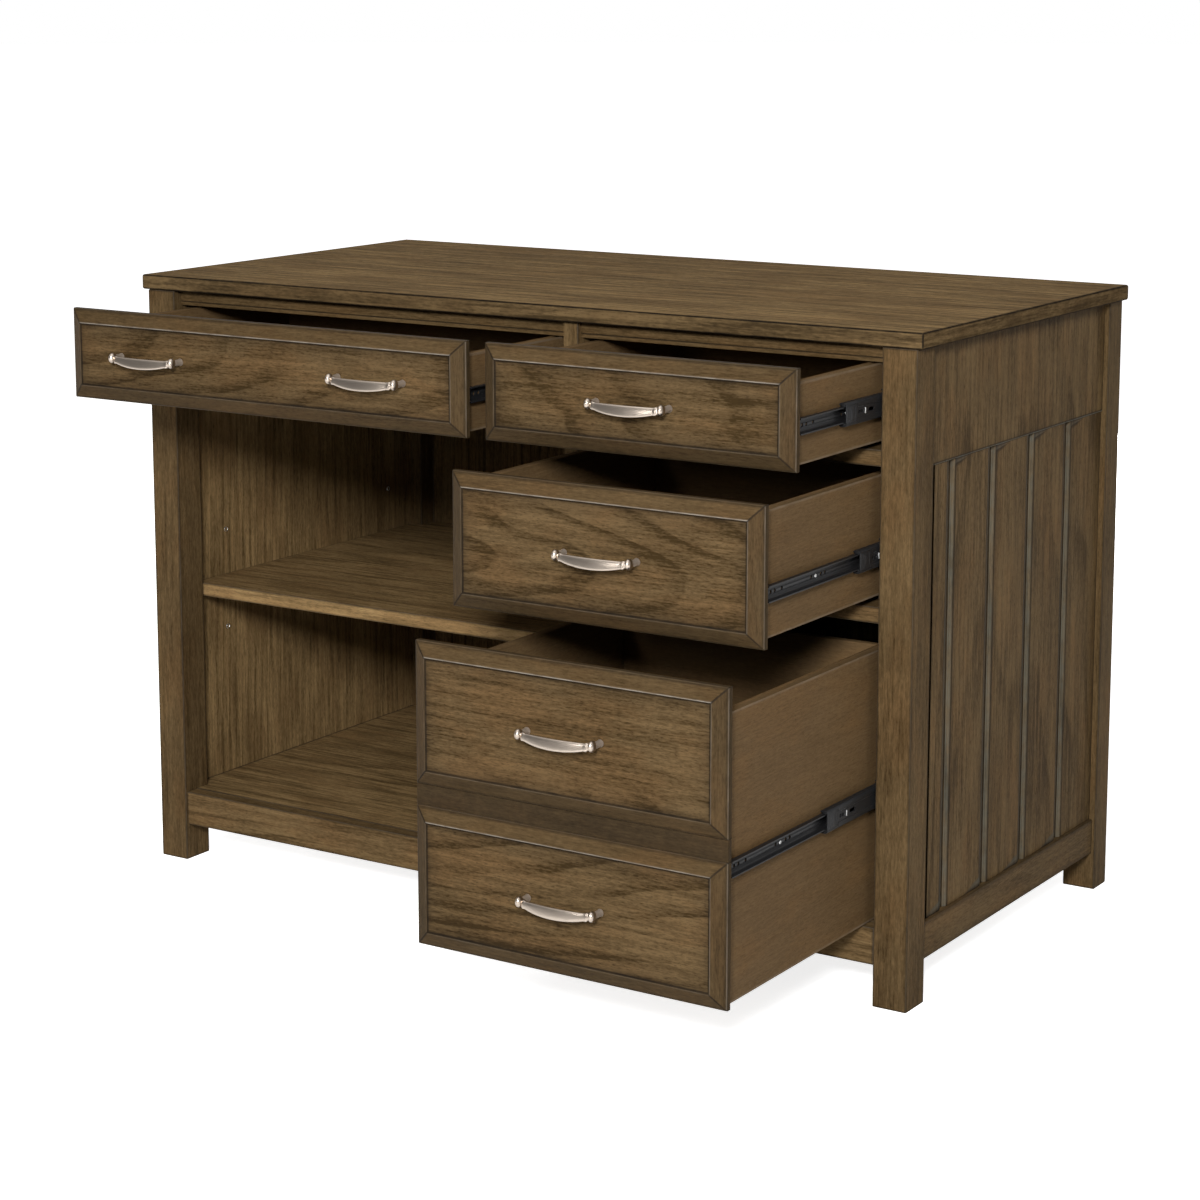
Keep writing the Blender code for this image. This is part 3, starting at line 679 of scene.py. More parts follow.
def scatter(name, part, points, facing, material, body, size):
    """One piece made of copies of a small part. The part looks along its own +Z."""
    mesh = bpy.data.meshes.new(name + "_points")
    mesh.from_pydata([tuple(p) for p in points], [], [])
    seed = show(name + "_points", mesh)
    tree = bpy.data.node_groups["Parts on points"]
    sockets = {s.name: s.identifier for s in tree.interface.items_tree if s.in_out == "INPUT"}
    change = seed.modifiers.new("copies", "NODES")
    change.node_group = tree
    turned_to = Vector((0, 0, 1)).rotation_difference(Vector(facing)).to_euler()
    for label, value in (("Part", part), ("Facing", turned_to), ("Size", size), ("Turn", math.pi),
                         ("Material", material)):
        change[sockets[label]] = value
    result = plain_mesh(name, seed)
    bpy.data.objects.remove(seed)
    return fit_out(show(name, result), body)


def plain_mesh(name, item):
    """The mesh that an object's modifiers make of it."""
    graph = bpy.context.evaluated_depsgraph_get()
    result = bpy.data.meshes.new_from_object(item.evaluated_get(graph), depsgraph=graph)
    result.name = name
    return result


def small_part(name, build):
    """A hidden pattern part for scatter(), kept out of the scene."""
    bm = bmesh.new()
    build(bm)
    return bpy.data.objects.new(name, mesh_from(name, bm, angle=35))


def screw_head(bm):
    """A pan head with a cross recess, 1 unit in radius."""
    turns = [2 * math.pi * k / 24 for k in range(24)]
    rings = [[bm.verts.new((radius * math.cos(a), radius * math.sin(a), out)) for a in turns]
             for radius, out in ((0.92, -0.1), (1.0, 0.0), (0.98, 0.14), (0.86, 0.3), (0.66, 0.4))]
    recess = [(0.14 + 0.34 * abs(math.cos(2 * a)) ** 6, a) for a in turns]
    rings.append([bm.verts.new((radius * math.cos(a), radius * math.sin(a), 0.44)) for radius, a in recess])
    rings.append([bm.verts.new((v.co.x * 0.72, v.co.y * 0.72, 0.16)) for v in rings[-1]])
    skin(bm, rings, turned_over=True)


def ball(bm):
    """A bearing ball, 1 unit in radius."""
    lathe(bm, [(math.sin(math.pi * k / 10), -math.cos(math.pi * k / 10)) for k in range(11)], (0, 0, 0),
          (0, 0, 1), 14)


def sleeve(bm):
    """A lined pin hole: a thin rolled rim round a blind hole, 1 unit in radius."""
    lathe(bm, [(0.0, -0.9), (0.70, -0.9), (0.70, 0.05), (0.80, 0.16), (0.93, 0.12), (1.0, 0.0),
               (0.98, -1.05), (0.0, -1.05)], (0, 0, 0), (0, 0, 1), 24)


# ---------------------------------------------------------------- drawer fronts

def border_outline(thick, sizes):
    """Rings of a front from back edge to field: inset, distance from the back, glaze with painted shade,
    painted highlight, sunk mitre.
    """
    rim, flat, edge = sizes.border, thick - sizes.step, sizes.edge

    def slope(w):
        return edge + (thick - edge) / sizes.border * w
    # Dark values at the outer edge and just inside the rim are glaze with painted shade; the bright values on
    # the crest and the outer arris are a painted highlight.
    return [(0.0006, 0.0, 0.5, 0.0, 0), (0.0, 0.0006, 0.5, 0.0, 0), (0.0, edge - 0.0014, 0.80, 0.0, 0),
            (0.0004, edge - 0.0002, 0.30, 0.18, 1), (0.0013, slope(0.0013), 0.70, 0.0, 1),
            (0.0022, slope(0.0022), 0.60, 0.0, 1), (0.0040, slope(0.0040), 0.05, 0.0, 1),
            (rim - 0.0040, slope(rim - 0.0040), 0.0, 0.0, 1),
            (rim - 0.0014, slope(rim - 0.0014), 0.0, 0.0, 1),
            (rim - 0.0006, thick - 0.0003, 0.0, 0.10, 1), (rim, thick - 0.0001, 0.0, 0.52, 1),
            (rim + 0.0006, thick - 0.0004, 0.10, 0.48, 1), (rim + 0.0010, flat + 0.0002, 1.0, 0.0, 0),
            (rim + 0.0022, flat, 1.0, 0.0, 0), (rim + 0.0036, flat, 0.45, 0.0, 0),
            (rim + 0.0085, flat, 0.22, 0.0, 0), (rim + 0.0260, flat, 0.0, 0.0, 0)]


FIELD_ROW = 12
SINK = 0.0004
MITRE_GLAZE = (1.0, 0.85, 0.22, 0.0, 0.0, 0.22, 0.85)
# Painted shade on each border in turn (bottom, right, top, left): lightest on the top border, which faces the
# light.
BORDER_SHADE = (0.42, 0.36, 0.12, 0.42)
# Painted highlight on each border's crest, then on its outer arris, side by side as above: brightest where the
# border faces the light.
RIM_HIGHLIGHT = (0.12, 0.30, 1.0, 0.10)
EDGE_HIGHLIGHT = (0.3, 0.9, 0.3, 0.3)


def front_shell(bm, low, high, sizes):
    """One closed front: eased back edge, sloping mitred border, rounded rim, step and flat field."""
    layers = paint_layers(bm)
    back, rim, fine = high.y, sizes.border, sizes.mitre
    rings = []
    for w, d, dark, worn, sunk in border_outline(back - low.y, sizes):
        corners = [Vector((low.x + w, 0, low.z + w)), Vector((high.x - w, 0, low.z + w)),
                   Vector((high.x - w, 0, high.z - w)), Vector((low.x + w, 0, high.z - w))]
        ring = []
        for k, start in enumerate(corners):
            along = corners[(k + 1) % 4] - start
            way, span = along.normalized(), along.length
            stops = (0.0, fine, fine * 2.4, 0.007, span - 0.007, span - fine * 2.4, span - fine)
            for number, t in enumerate(stops):
                place = start + way * t
                fall = SINK if sunk and number == 0 else 0.0
                lit = RIM_HIGHLIGHT[k] if 0.005 < w < rim + 0.001 else EDGE_HIGHLIGHT[k]
                # Glaze at the mitres with painted shade on each border; painted highlight on the crest and
                # outer arris.
                ring.append(painted(
                    bm, layers, (place.x, back - d + fall, place.z),
                    max(dark, MITRE_GLAZE[number], BORDER_SHADE[k]) if w < rim + 0.0008 else dark,
                    worn * lit if number != 0 else 0.0,
                    (k + 1) * 0.7 if w < rim + 0.001 else 0.0))
        rings.append(ring)
    for row, (first, second) in enumerate(zip(rings, rings[1:])):
        ring_faces(bm, first, second, 2 if row >= FIELD_ROW else lambda number: (number // 7) % 2)
    bm.faces.new(rings[-1]).material_index = 2
    bm.faces.new(rings[0][::-1]).material_index = 2


def build_front(number, sizes):
    """The front of one drawer, with the flat strip between the faux fronts of the file drawer."""
    node = f"drawer_{number}_front"
    low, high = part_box(node)
    bm = bmesh.new()
    glaze, _, board = paint_layers(bm)
    if number == 4:
        middle = (low.z + high.z) / 2 - STRIP_DROP
        cuts = (middle - sizes.strip / 2, middle + sizes.strip / 2)
        front_shell(bm, low, Vector((high.x, high.y, cuts[0])), sizes)
        front_shell(bm, Vector((low.x, low.y, cuts[1])), high, sizes)
        start = len(bm.verts)
        add_board(bm, (low.x, high.y - sizes.edge, cuts[0]), (high.x, high.y, cuts[1]), 0.0008)
        bm.verts.ensure_lookup_table()
        # The strip between the two faux fronts is painted darker all over.
        for vert in bm.verts[start:]:
            vert[glaze] = 0.70
            vert[board] = 2.3
    else:
        front_shell(bm, low, high, sizes)
    # The fronts' stains are scaled down by shade: painted shade.
    woods = [wood(f"front_{number}_{part}_wood", grain, "y", seed + number, (low, high), painted=True,
                  boards=True, glaze=0.95, gloss=0.02, shade=0.80, **PLAIN)
             for part, grain, seed in (("rail", "x", 10), ("stile", "z", 20))]
    woods.append(wood(f"front_{number}_field_wood", "x", "y", FIELD_SEEDS[number], (low, high), painted=True,
                      shade=0.80, figure=0.52, spacing=0.010, tilt=0.075, pith=0.030, bend=0.05, glaze=0.92,
                      streaks=1.5, lines=-0.30, fibres=1.3, cloud=0.50, pores=0.62))
    add_piece(f"{node}_panel", bm, woods, f"drawer_{number}", [node], 32)


# ---------------------------------------------------------------- drawer boxes

def build_box(number, sizes):
    """Sides, inner front and back of one drawer box, and its bottom."""
    node = f"drawer_{number}_box"
    low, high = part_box(node)
    bm = bmesh.new()
    wall, round_r, gap, drop = sizes.box_side, sizes.box_round, 0.0001, 0.0004
    arc = [(low.y + round_r * (1 - math.sin(a)), high.z - round_r * (1 - math.cos(a)))
           for a in [math.pi / 2 * (k / 6) for k in range(7)]]
    side_line = [(low.y, low.z), (high.y, low.z), (high.y, high.z), *arc]
    for x in (low.x, high.x - wall):
        add_prism(bm, side_line, x, x + wall, 0.0016)
    for near, far, top in ((low.y, low.y + wall, high.z), (high.y - wall, high.y, high.z - sizes.box_drop)):
        add_board(bm, (low.x + wall - gap, near + gap, low.z + drop),
                  (high.x - wall + gap, far - gap, top - drop),
                  0.0014, 1)
    # The walls' edges get a thin pale line: rubbed wear with a painted highlight along the top edges.
    woods = [wood(f"box_{number}_{part}_wood", grain, face, seed + number, (low, high), tone="box", glaze=0.0,
                  worn=0.13, **PLAIN)
             for part, grain, face, seed in (("side", "y", "x", 40), ("end", "x", "y", 50))]
    add_piece(f"{node}_walls", bm, woods, f"drawer_{number}", [node])
    base = f"drawer_{number}_bottom"
    cover(base, wood(f"box_{number}_bottom_wood", "x", "z", 60 + number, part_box(base), tone="box", glaze=0.35,
                     edge=0.008, **CALM))


# ---------------------------------------------------------------- pulls

POST_LINE = [(0.0, 0.0), (0.0043, 0.0), (0.0042, 0.0008), (0.0039, 0.0020), (0.0037, 0.0040),
             (0.0037, 0.0110), (0.0039, 0.0150), (0.0, 0.0152)]
BOW_STATIONS = 48
BOW_AROUND = 22
BOW_LEAN = 0.22


def build_pull(node, number, sizes):
    """A bow pull: two turned posts with flat beads, and a leaning ribbon between them."""
    low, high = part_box(node)
    foot, line = high.y, high.z - sizes.knob
    half, middle = (high.x - low.x) / 2 - sizes.knob, (low.x + high.x) / 2
    bow_out = sizes.knob_out - 0.0010
    bow_depth = foot - low.y - 0.0029 - bow_out
    bm = bmesh.new()
    bead_line = [(sizes.knob * math.sin(math.pi * k / 20), -sizes.knob_half * math.cos(math.pi * k / 20))
                 for k in range(21)]
    for side in SIDES.values():
        end = middle + side * half
        lathe(bm, POST_LINE, (end, foot, line), (0, -1, 0), 32, 1)
        lathe(bm, bead_line, (end, foot - sizes.knob_out, line), (1, 0, 0), 32)
    rings = []
    for step in range(BOW_STATIONS + 1):
        t = -1 + 2 * step / BOW_STATIONS
        swell = max(0.0, 1 - t * t)
        full = swell ** 0.75
        bead = math.exp(-((abs(t) - 0.865) / 0.028) ** 2)
        tall = sizes.bow_end + (sizes.bow - sizes.bow_end) * full + 0.0024 * bead
        thick = 0.0030 + 0.0012 * (1 - full) + 0.0020 * bead
        ahead = foot - bow_out - bow_depth * swell ** 0.9
        drop = line - sizes.bow_drop * full
        ring = []
        for k in range(BOW_AROUND):
            angle = 2 * math.pi * k / BOW_AROUND
            out, up = (math.copysign(abs(part) ** 0.62, part) * size / 2
                       for part, size in ((math.cos(angle), thick), (math.sin(angle), tall)))
            ring.append(bm.verts.new((middle + t * half, ahead + out + BOW_LEAN * up, drop + up)))
        rings.append(ring)
    skin(bm, rings)
    add_piece(f"{node}_handle", bm, [nickel(), turned_nickel()], f"drawer_{number}",
              [node], 60)


# ---------------------------------------------------------------- slides

def sheet_outline(points, thick):
    """A closed outline round an open line of (u, v) points, with one thickness."""
    left, right = [], []
    for k, (u, v) in enumerate(points):
        before = points[max(k - 1, 0)]
        after = points[min(k + 1, len(points) - 1)]
        du, dv = after[0] - before[0], after[1] - before[1]
        size = math.hypot(du, dv)
        nu, nv = -dv / size * thick / 2, du / size * thick / 2
        left.append((u + nu, v + nv))
        right.append((u - nu, v - nv))
    return left + right[::-1]


ROLL_R = 0.0022
HOLE_LINE = [(0.0, -0.004), (0.0023, -0.004), (0.0023, 0.004), (0.0, 0.004)]
SLOT_R = 0.0022
SLOT_HALF = 0.0045
MEMBERS = {
    "outer": (0.0016, 0.0, (0.064, 0.170, 0.322), (0.090, 0.196, 0.348), 0.0),
    "middle": (0.0012, 0.0007, (0.0318, 0.0375, 0.20), (0.060, 0.15, 0.25), 0.0262),
    "inner": (0.0, 0.0005, (0.014, 0.023, 0.038, 0.102, 0.124, 0.133, 0.290), (0.314,), 0.0),
}
DRAWER_SCREWS = (0.112, 0.222, 0.372)
CASE_SCREWS = (0.037, 0.230, 0.372)
LATCH_STAMPS = ((0.0022, 0.0050, -0.0085, 0.0085), (0.0068, 0.0092, -0.0085, -0.0020),
                (0.0068, 0.0092, 0.0020, 0.0085), (0.0110, 0.0190, -0.0060, 0.0060),
                (0.0210, 0.0236, -0.0085, 0.0085))


def channel_line(web, lip, low, high, thick, hook, dent):
    """The middle line of a rolled channel, from one lip round the web to the other, its web dented inward."""
    way = 1 if lip > web else -1
    u0 = web + way * thick / 2
    top, base = high - thick / 2, low + thick / 2
    upper = [(lip - way * thick / 2, top)]
    if hook:
        upper = [(lip - way * thick / 2, top - hook), (lip - way * (thick / 2 + 0.0002), top - 0.0005),
                 (lip - way * (thick / 2 + 0.0010), top)]
    for k in range(6):
        angle = math.pi / 2 * k / 5
        upper.append((u0 + way * ROLL_R * (1 - math.sin(angle)), top - ROLL_R * (1 - math.cos(angle))))
    if dent:
        upper += [(u0, top - 0.0060), (u0 + way * dent, top - 0.0069)]
    middle = (top + base) / 2
    return upper + [(u, 2 * middle - v) for u, v in reversed(upper)]


def pierce(item, cut):
    """Cut a bmesh's shapes out of an object and keep the plain result."""
    cutter = show(item.name + "_cut", mesh_from(item.name + "_cut", cut))
    change = item.modifiers.new("pierced", "BOOLEAN")
    change.operation = "DIFFERENCE"
    change.solver = "EXACT"
    change.object = cutter
    result = plain_mesh(item.name, item)
    item.modifiers.clear()
    item.data = result
    bpy.data.objects.remove(cutter)


def build_member(node, body, sizes, hook, dent, holes, slots, window):
    """One rolled steel member of a slide: hooked lips, a dented web, its holes, slots and window."""
    low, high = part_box(node)
    web_low = ("_left_" in node) != node.endswith("_inner")
    web, lip = (low.x, high.x) if web_low else (high.x, low.x)
    outline = sheet_outline(channel_line(web, lip, low.z, high.z, sizes.sheet, hook, dent), sizes.sheet)
    middle = (low.z + high.z) / 2
    bm = bmesh.new()
    skin(bm, [[bm.verts.new((u, y, v + (pinch if v < middle else -pinch))) for u, v in outline]
              for y, pinch in ((low.y, 0.0003), (low.y + 0.0004, 0.0),
                               (high.y - 0.0004, 0.0), (high.y, 0.0003))])
    item = show(node + "_rail", mesh_from(node + "_rail", bm))
    cut = bmesh.new()
    for out in holes:
        lathe(cut, HOLE_LINE, (web, low.y + out, middle), (1, 0, 0), 14)
    turns = [2 * math.pi * (k + 0.5) / 16 for k in range(16)]
    long = [Vector((0, math.cos(a) * SLOT_R + math.copysign(SLOT_HALF, math.cos(a)), math.sin(a) * SLOT_R))
            for a in turns]
    for out in slots:
        skin(cut, [[cut.verts.new(Vector((web + u, low.y + out, middle)) + p) for p in long]
                   for u in (-0.004, 0.004)])
    if window:
        add_board(cut, (web - 0.003, low.y - 0.001, low.z + 0.0030),
                  (web + 0.003, low.y + window, high.z - 0.0030), 0.0)
    pierce(item, cut)
    item.data.materials.clear()
    item.data.materials.append(black_zinc())
    smooth(item.data, 35)
    fit_out(item, body, [node])


def build_slides(number, sizes, screw, bead):
    """Both slides of one drawer: members, screws, latch blocks and balls."""
    bodies = {"outer": CASE, "middle": f"slide_{number}_middles", "inner": f"drawer_{number}"}
    for word, side in SIDES.items():
        nodes = {part: f"slide_{number}_{word}_{part}" for part in MEMBERS}
        for part, shape in MEMBERS.items():
            build_member(nodes[part], bodies[part], sizes, *shape)
        middle = sum(corner.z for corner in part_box(nodes["inner"])) / 2
        for part, label, way, outs, share in (("inner", "drawer", side, DRAWER_SCREWS, 0.8),
                                              ("outer", "case", -side, CASE_SCREWS, 0.9)):
            low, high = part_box(nodes[part])
            face = (high.x if way < 0 else low.x) + way * sizes.sheet
            scatter(f"slide_{number}_{word}_{label}_screws", screw,
                    [(face, low.y + out, middle) for out in outs], (way, 0, 0), bright_zinc(),
                    bodies[part], sizes.screw * share)
        build_cage(number, word, side, nodes, bead)


def build_cage(number, word, side, nodes, bead):
    """The black latch block at the middle member's front end, its stamped tab, and two rows of balls."""
    low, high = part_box(nodes["middle"])
    inner_low, inner_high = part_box(nodes["inner"])
    body = f"slide_{number}_middles"
    near, centre = low.y, (low.z + high.z) / 2
    bm = bmesh.new()
    x0, x1 = (low.x + 0.0020, high.x - 0.0010) if side < 0 else (low.x + 0.0010, high.x - 0.0020)
    for top, base in ((high.z - 0.0016, inner_high.z + 0.0001), (inner_low.z - 0.0001, low.z + 0.0016)):
        add_board(bm, (x0, near + 0.001, base), (x1, near + 0.031, top), 0.0004, 0, 2)
        for rib in range(4):
            y = near + 0.004 + rib * 0.0062
            add_board(bm, (x0 - 0.0004, y, base + 0.0002), (x1 + 0.0004, y + 0.0022, top + 0.0004),
                      0.0003, 0, 1)
    web = low.x if side < 0 else high.x
    deep, proud = web - side * 0.0012, web + side * 0.00025

    def plate(first, second, y0, y1, z0, z1, edge):
        x_low, x_high = sorted((first, second))
        add_board(bm, (x_low, near + y0, z0), (x_high, near + y1, z1), edge, 0, 2)
    plate(web, deep, 0.0006, 0.0258, low.z + 0.0032, high.z - 0.0032, 0.0004)
    for y0, y1, z0, z1 in LATCH_STAMPS:
        plate(proud, deep, y0, y1, centre + z0, centre + z1, 0.0005)
    add_piece(f"slide_{number}_{word}_latch", bm, [plastic()], body)
    bm = bmesh.new()
    plate(web - side * 0.0008, proud, 0.0445, 0.0459, centre - 0.0034, centre + 0.0034, 0.0004)
    add_piece(f"slide_{number}_{word}_tabs", bm, [bright_zinc()], body)
    points = [((x0 + x1) / 2, near + 0.036 + k * 0.0075, z)
              for z in ((high.z - 0.0013 + inner_high.z) / 2, (low.z + 0.0013 + inner_low.z) / 2)
              for k in range(16)]
    scatter(f"slide_{number}_{word}_balls", bead, points, (0, 0, 1), bright_zinc(), body, 0.0013)


# ---------------------------------------------------------------- sides

GROOVES = 4
RISE_END = 0.046
FALL_START = 0.058
# How much wax and painted highlight each row of a board shows (rows as in build_side).
ROW_WAX_AND_HIGHLIGHT = (0.0, 0.3, 1.0, 1.4, 1.0, 1.0, 1.0, 1.4, 1.0, 0.4, 0.0)


def board_line(number, start, end, sizes):
    """Points across one grooved board: depth behind the face, place, glaze, and wax with painted highlight."""
    lip, depth, slope, panel = sizes.groove_lip, sizes.groove_depth, sizes.groove_slope, sizes.panel
    line = [(panel, start, 0.2, 0.0)]
    if number:
        line += [(depth + 0.0012, start + 0.0002, 1.0, 0.0), (depth, start + 0.0004, 1.0, 0.0),
                 (depth * 0.90, start + lip * 0.16, 0.7, 0.15), (depth * 0.78, start + lip * 0.26, 0.0, 0.95),
                 (depth * 0.66, start + lip * 0.38, 0.45, 0.30),
                 (depth * 0.40, start + lip * 0.62, 0.0, 0.60),
                 (depth * 0.12, start + lip, 0.2, 0.45), (0.0, start + lip * 1.20, 0.9, 0.0),
                 (0.0, start + lip * 1.20 + 0.0018, 0.9, 0.0), (0.0, start + lip * 1.20 + 0.0042, 0.15, 0.0),
                 (0.0, start + 0.024, 0.0, 0.0), (0.0, start + RISE_END, 0.0, 0.0)]
    else:
        line += [(0.0, start, 0.8, 0.0), (0.0, start + 0.006, 0.2, 0.0), (0.0, start + 0.020, 0.0, 0.0)]
    if number < GROOVES:
        line += [(0.0, end - FALL_START, 0.0, 0.0), (0.0, end - slope - 0.010, 0.0, 0.0),
                 (0.0, end - slope - 0.0024, 0.2, 0.0), (0.0, end - slope - 0.0004, 0.85, 0.0),
                 (depth * 0.08, end - slope + 0.0012, 0.5, 0.25),
                 (depth * 0.22, end - slope + 0.0032, 0.1, 0.45),
                 (depth * 0.60, end - 0.0072, 0.1, 0.50), (depth * 0.86, end - 0.0036, 0.3, 0.35),
                 (depth * 0.96, end - 0.0020, 0.95, 0.0), (depth, end - 0.0008, 1.0, 0.0),
                 (depth + 0.0012, end - 0.0001, 1.0, 0.0)]
    else:
        line += [(0.0, end - 0.006, 0.2, 0.0), (0.0, end, 0.8, 0.0)]
    return [*line, (panel, end, 0.2, 0.0)]


def add_grooved_board(bm, layers, number, start, end, rows, face, side, sizes):
    """One tongue-and-groove board: its ends slope off beside the grooves, where glaze and wax gather and
    painted shade lies.
    """
    rings = []
    for row, (z, fore_rise, back_drop) in enumerate(rows):
        ring = []
        for deep, y, shade, worn in board_line(number, start, end, sizes):
            back = min(1.0, max(0.0, (start + RISE_END - y) / 0.040)) if number else 0.0
            fore = min(1.0, max(0.0, (y - end + FALL_START) / 0.045)) if number < GROOVES else 0.0
            near, far = min(1.0, 3.0 * back), min(1.0, 3.0 * fore)
            # Dark rows are painted shade: along the side rail's top, under the upper board's edge, and in the
            # wedges where each board's end slopes off beside a groove; milky puts wax in those wedges.
            dark = (1.0, 1.0, 0.3, 0.5 * far, 0.0, 0.0, 0.0, near, 0.3 * near, 0.9, 1.0)[row]
            milky = (0.0, 0.0, 0.5 * far, 0.45 * far, 0.0, 0.0, 0.0, 0.0, 0.35 * near, 0.0, 0.0)[row]
            ring.append(painted(bm, layers, (face - side * deep, y, z + fore_rise * fore - back_drop * back),
                                max(shade, dark if worn < 0.1 else 0.3 * dark),
                                max(milky, worn * ROW_WAX_AND_HIGHLIGHT[row]), number + 1.0))
        rings.append(ring)
    skin(bm, rings, turned_over=True)


def build_side(word, side, sizes):
    """A panel of tongue-and-groove boards under one plain board, and the cleats behind it."""
    node = f"side_panel_{word}"
    low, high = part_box(node)
    face = side * max(abs(low.x), abs(high.x)) - side * sizes.upper_proud
    inner = face - side * sizes.panel
    split = high.z - sizes.upper_height
    bm = bmesh.new()
    layers = paint_layers(bm)
    deepest = [high.y - sizes.last_board + 0.0003 - k * sizes.board for k in (3, 2, 1, 0)]
    edges = [low.y, *deepest, high.y]
    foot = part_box(f"side_rail_{word}")[1].z
    rows = ((low.z, 0.0, 0.0), (foot, 0.0, 0.0), (foot + 0.0006, 0.0064, 0.0), (foot + 0.0014, 0.0082, 0.0),
            (foot + 0.0024, 0.0110, 0.0), (split - 0.0300, 0.0, 0.0), (split - 0.0040, 0.0, 0.0078),
            (split - 0.0020, 0.0, 0.0052), (split - 0.0012, 0.0, 0.0034), (split - 0.0005, 0.0, 0.0),
            (split, 0.0, 0.0))
    for number, (start, end) in enumerate(zip(edges, edges[1:])):
        add_grooved_board(bm, layers, number, start, end, rows, face, side, sizes)
    proud = -sizes.upper_proud
    # Along the upper board's lower arris a painted highlight, with a dark line just above it; the board is also
    # darker at its top edge and at both ends.
    line = [(sizes.panel, split, 0.2, 0.0), (proud + 0.0005, split, 0.5, 0.3),
            (proud + 0.0001, split + 0.0003, 0.0, 1.0), (proud, split + 0.0008, 0.0, 0.9),
            (proud, split + 0.0014, 0.9, 0.0), (proud, split + 0.0022, 0.8, 0.0),
            (proud, split + 0.0034, 0.1, 0.0),
            (proud, split + 0.0070, 0.0, 0.0), (proud, high.z - 0.0200, 0.0, 0.0),
            (proud, high.z - 0.0020, 0.55, 0.0), (proud, high.z, 0.7, 0.0), (sizes.panel, high.z, 0.2, 0.0)]
    skin(bm, [[painted(bm, layers, (face - side * deep, y, z), max(shade, dark), worn, 7.0)
               for deep, z, shade, worn in line]
              for y, dark in ((low.y, 0.7), (low.y + 0.005, 0.0), (high.y - 0.005, 0.0), (high.y, 0.7))],
         turned_over=True)
    box = (Vector((min(face, inner), low.y, low.z)), Vector((max(face, inner), high.y, high.z)))
    grain = wood(f"side_{word}_boards_wood", "z", "x", 70 + side, box, painted=True, boards=True, figure=0.35,
                 spacing=0.012, streaks=1.7, cloud=0.55, lines=-0.25, glaze=0.92, waxed=True)
    # The panels' inner faces take the worktop's lighter stain: painted light for the open bay, which the lamps
    # reach too little.
    inside_painted_light = wood(f"side_{word}_lining_wood", "z", "x", 76 + side, box, tone="top", shade=0.98, figure=0.25,
                  streaks=1.8, lines=-0.2, glaze=0.0, worn=0.0)
    item = add_piece(f"side_{word}_boards", bm, [grain, inside_painted_light], CASE, [node], 24)
    for part in item.data.polygons:
        if part.normal.x * side < -0.9:
            part.material_index = 1
    build_cleats(word, side, low, high, inner, box, sizes)


def build_cleats(word, side, low, high, inner, box, sizes):
    """The strips behind a side panel that carry the outer slide members."""
    bm = bmesh.new()
    paint_layers(bm)
    outers = [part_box(f"slide_{n}_{word}_outer") for n in DRAWERS]
    levels = sorted({round((near.z + far.z) / 2, 5) for near, far in outers if near.x * side > 0.4})
    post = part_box(f"post_front_{word}")
    low_x, high_x = sorted((post[0].x if side > 0 else post[1].x, inner))
    for level in levels:
        add_board(bm, (low_x, low.y + 0.0003, level - sizes.cleat / 2),
                  (high_x, high.y - 0.0003, level + sizes.cleat / 2))
    grain = wood(f"side_{word}_cleats_wood", "y", "x", 80 + side, box, glaze=0.0, **CALM)
    add_piece(f"side_{word}_cleats", bm, [grain], CASE, [f"side_panel_{word}"])


# ---------------------------------------------------------------- top rail

def build_top_rail():
    """The rail over the shallow drawers: a plain face over a small rounded bead."""
    low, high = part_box("top_front_rail")
    bm = bmesh.new()
    layers = paint_layers(bm)
    groove = low.z + 0.0048
    # The dark values put glaze in the small groove and painted shade along the top edge under the worktop.
    outline = [(high.y, low.z + 0.0006, 0.2), (high.y - 0.0006, low.z, 0.2), (low.y + 0.0012, low.z, 0.3),
               (low.y + 0.0004, low.z + 0.0003, 0.1), (low.y, low.z + 0.0011, 0.0),
               (low.y, groove - 0.0012, 0.1),
               (low.y + 0.0004, groove - 0.0004, 0.5), (low.y + 0.0016, groove, 1.0),
               (low.y + 0.0016, groove + 0.0007, 1.0), (low.y + 0.0007, groove + 0.0010, 0.3),
               (low.y + 0.0005, groove + 0.0018, 0.0), (low.y + 0.0005, high.z - 0.0050, 0.1),
               (low.y + 0.0005, high.z - 0.0004, 0.6), (low.y + 0.0009, high.z, 0.6),
               (high.y - 0.0006, high.z, 0.2), (high.y, high.z - 0.0006, 0.2)]
    skin(bm, [[painted(bm, layers, (x, y, z), dark) for y, z, dark in outline] for x in (low.x, high.x)])
    grain = wood("top_rail_wood", "x", "y", 91, (low, high), painted=True, glaze=0.8, **CALM)
    add_piece("top_front_rail_moulding", bm, [grain], CASE, ["top_front_rail"], 30)


# ---------------------------------------------------------------- operators

class CREDENZA_OT_groups(bpy.types.Operator):
    """Build the shader and geometry node groups that the finishes share"""
    bl_idname = "credenza.groups"
    bl_label = "Node groups"

    def execute(self, context):
        build_grain_group()
        build_edge_group()
        build_glaze_group()
        build_metal_group()
        build_scatter_tree()
        return {"FINISHED"}


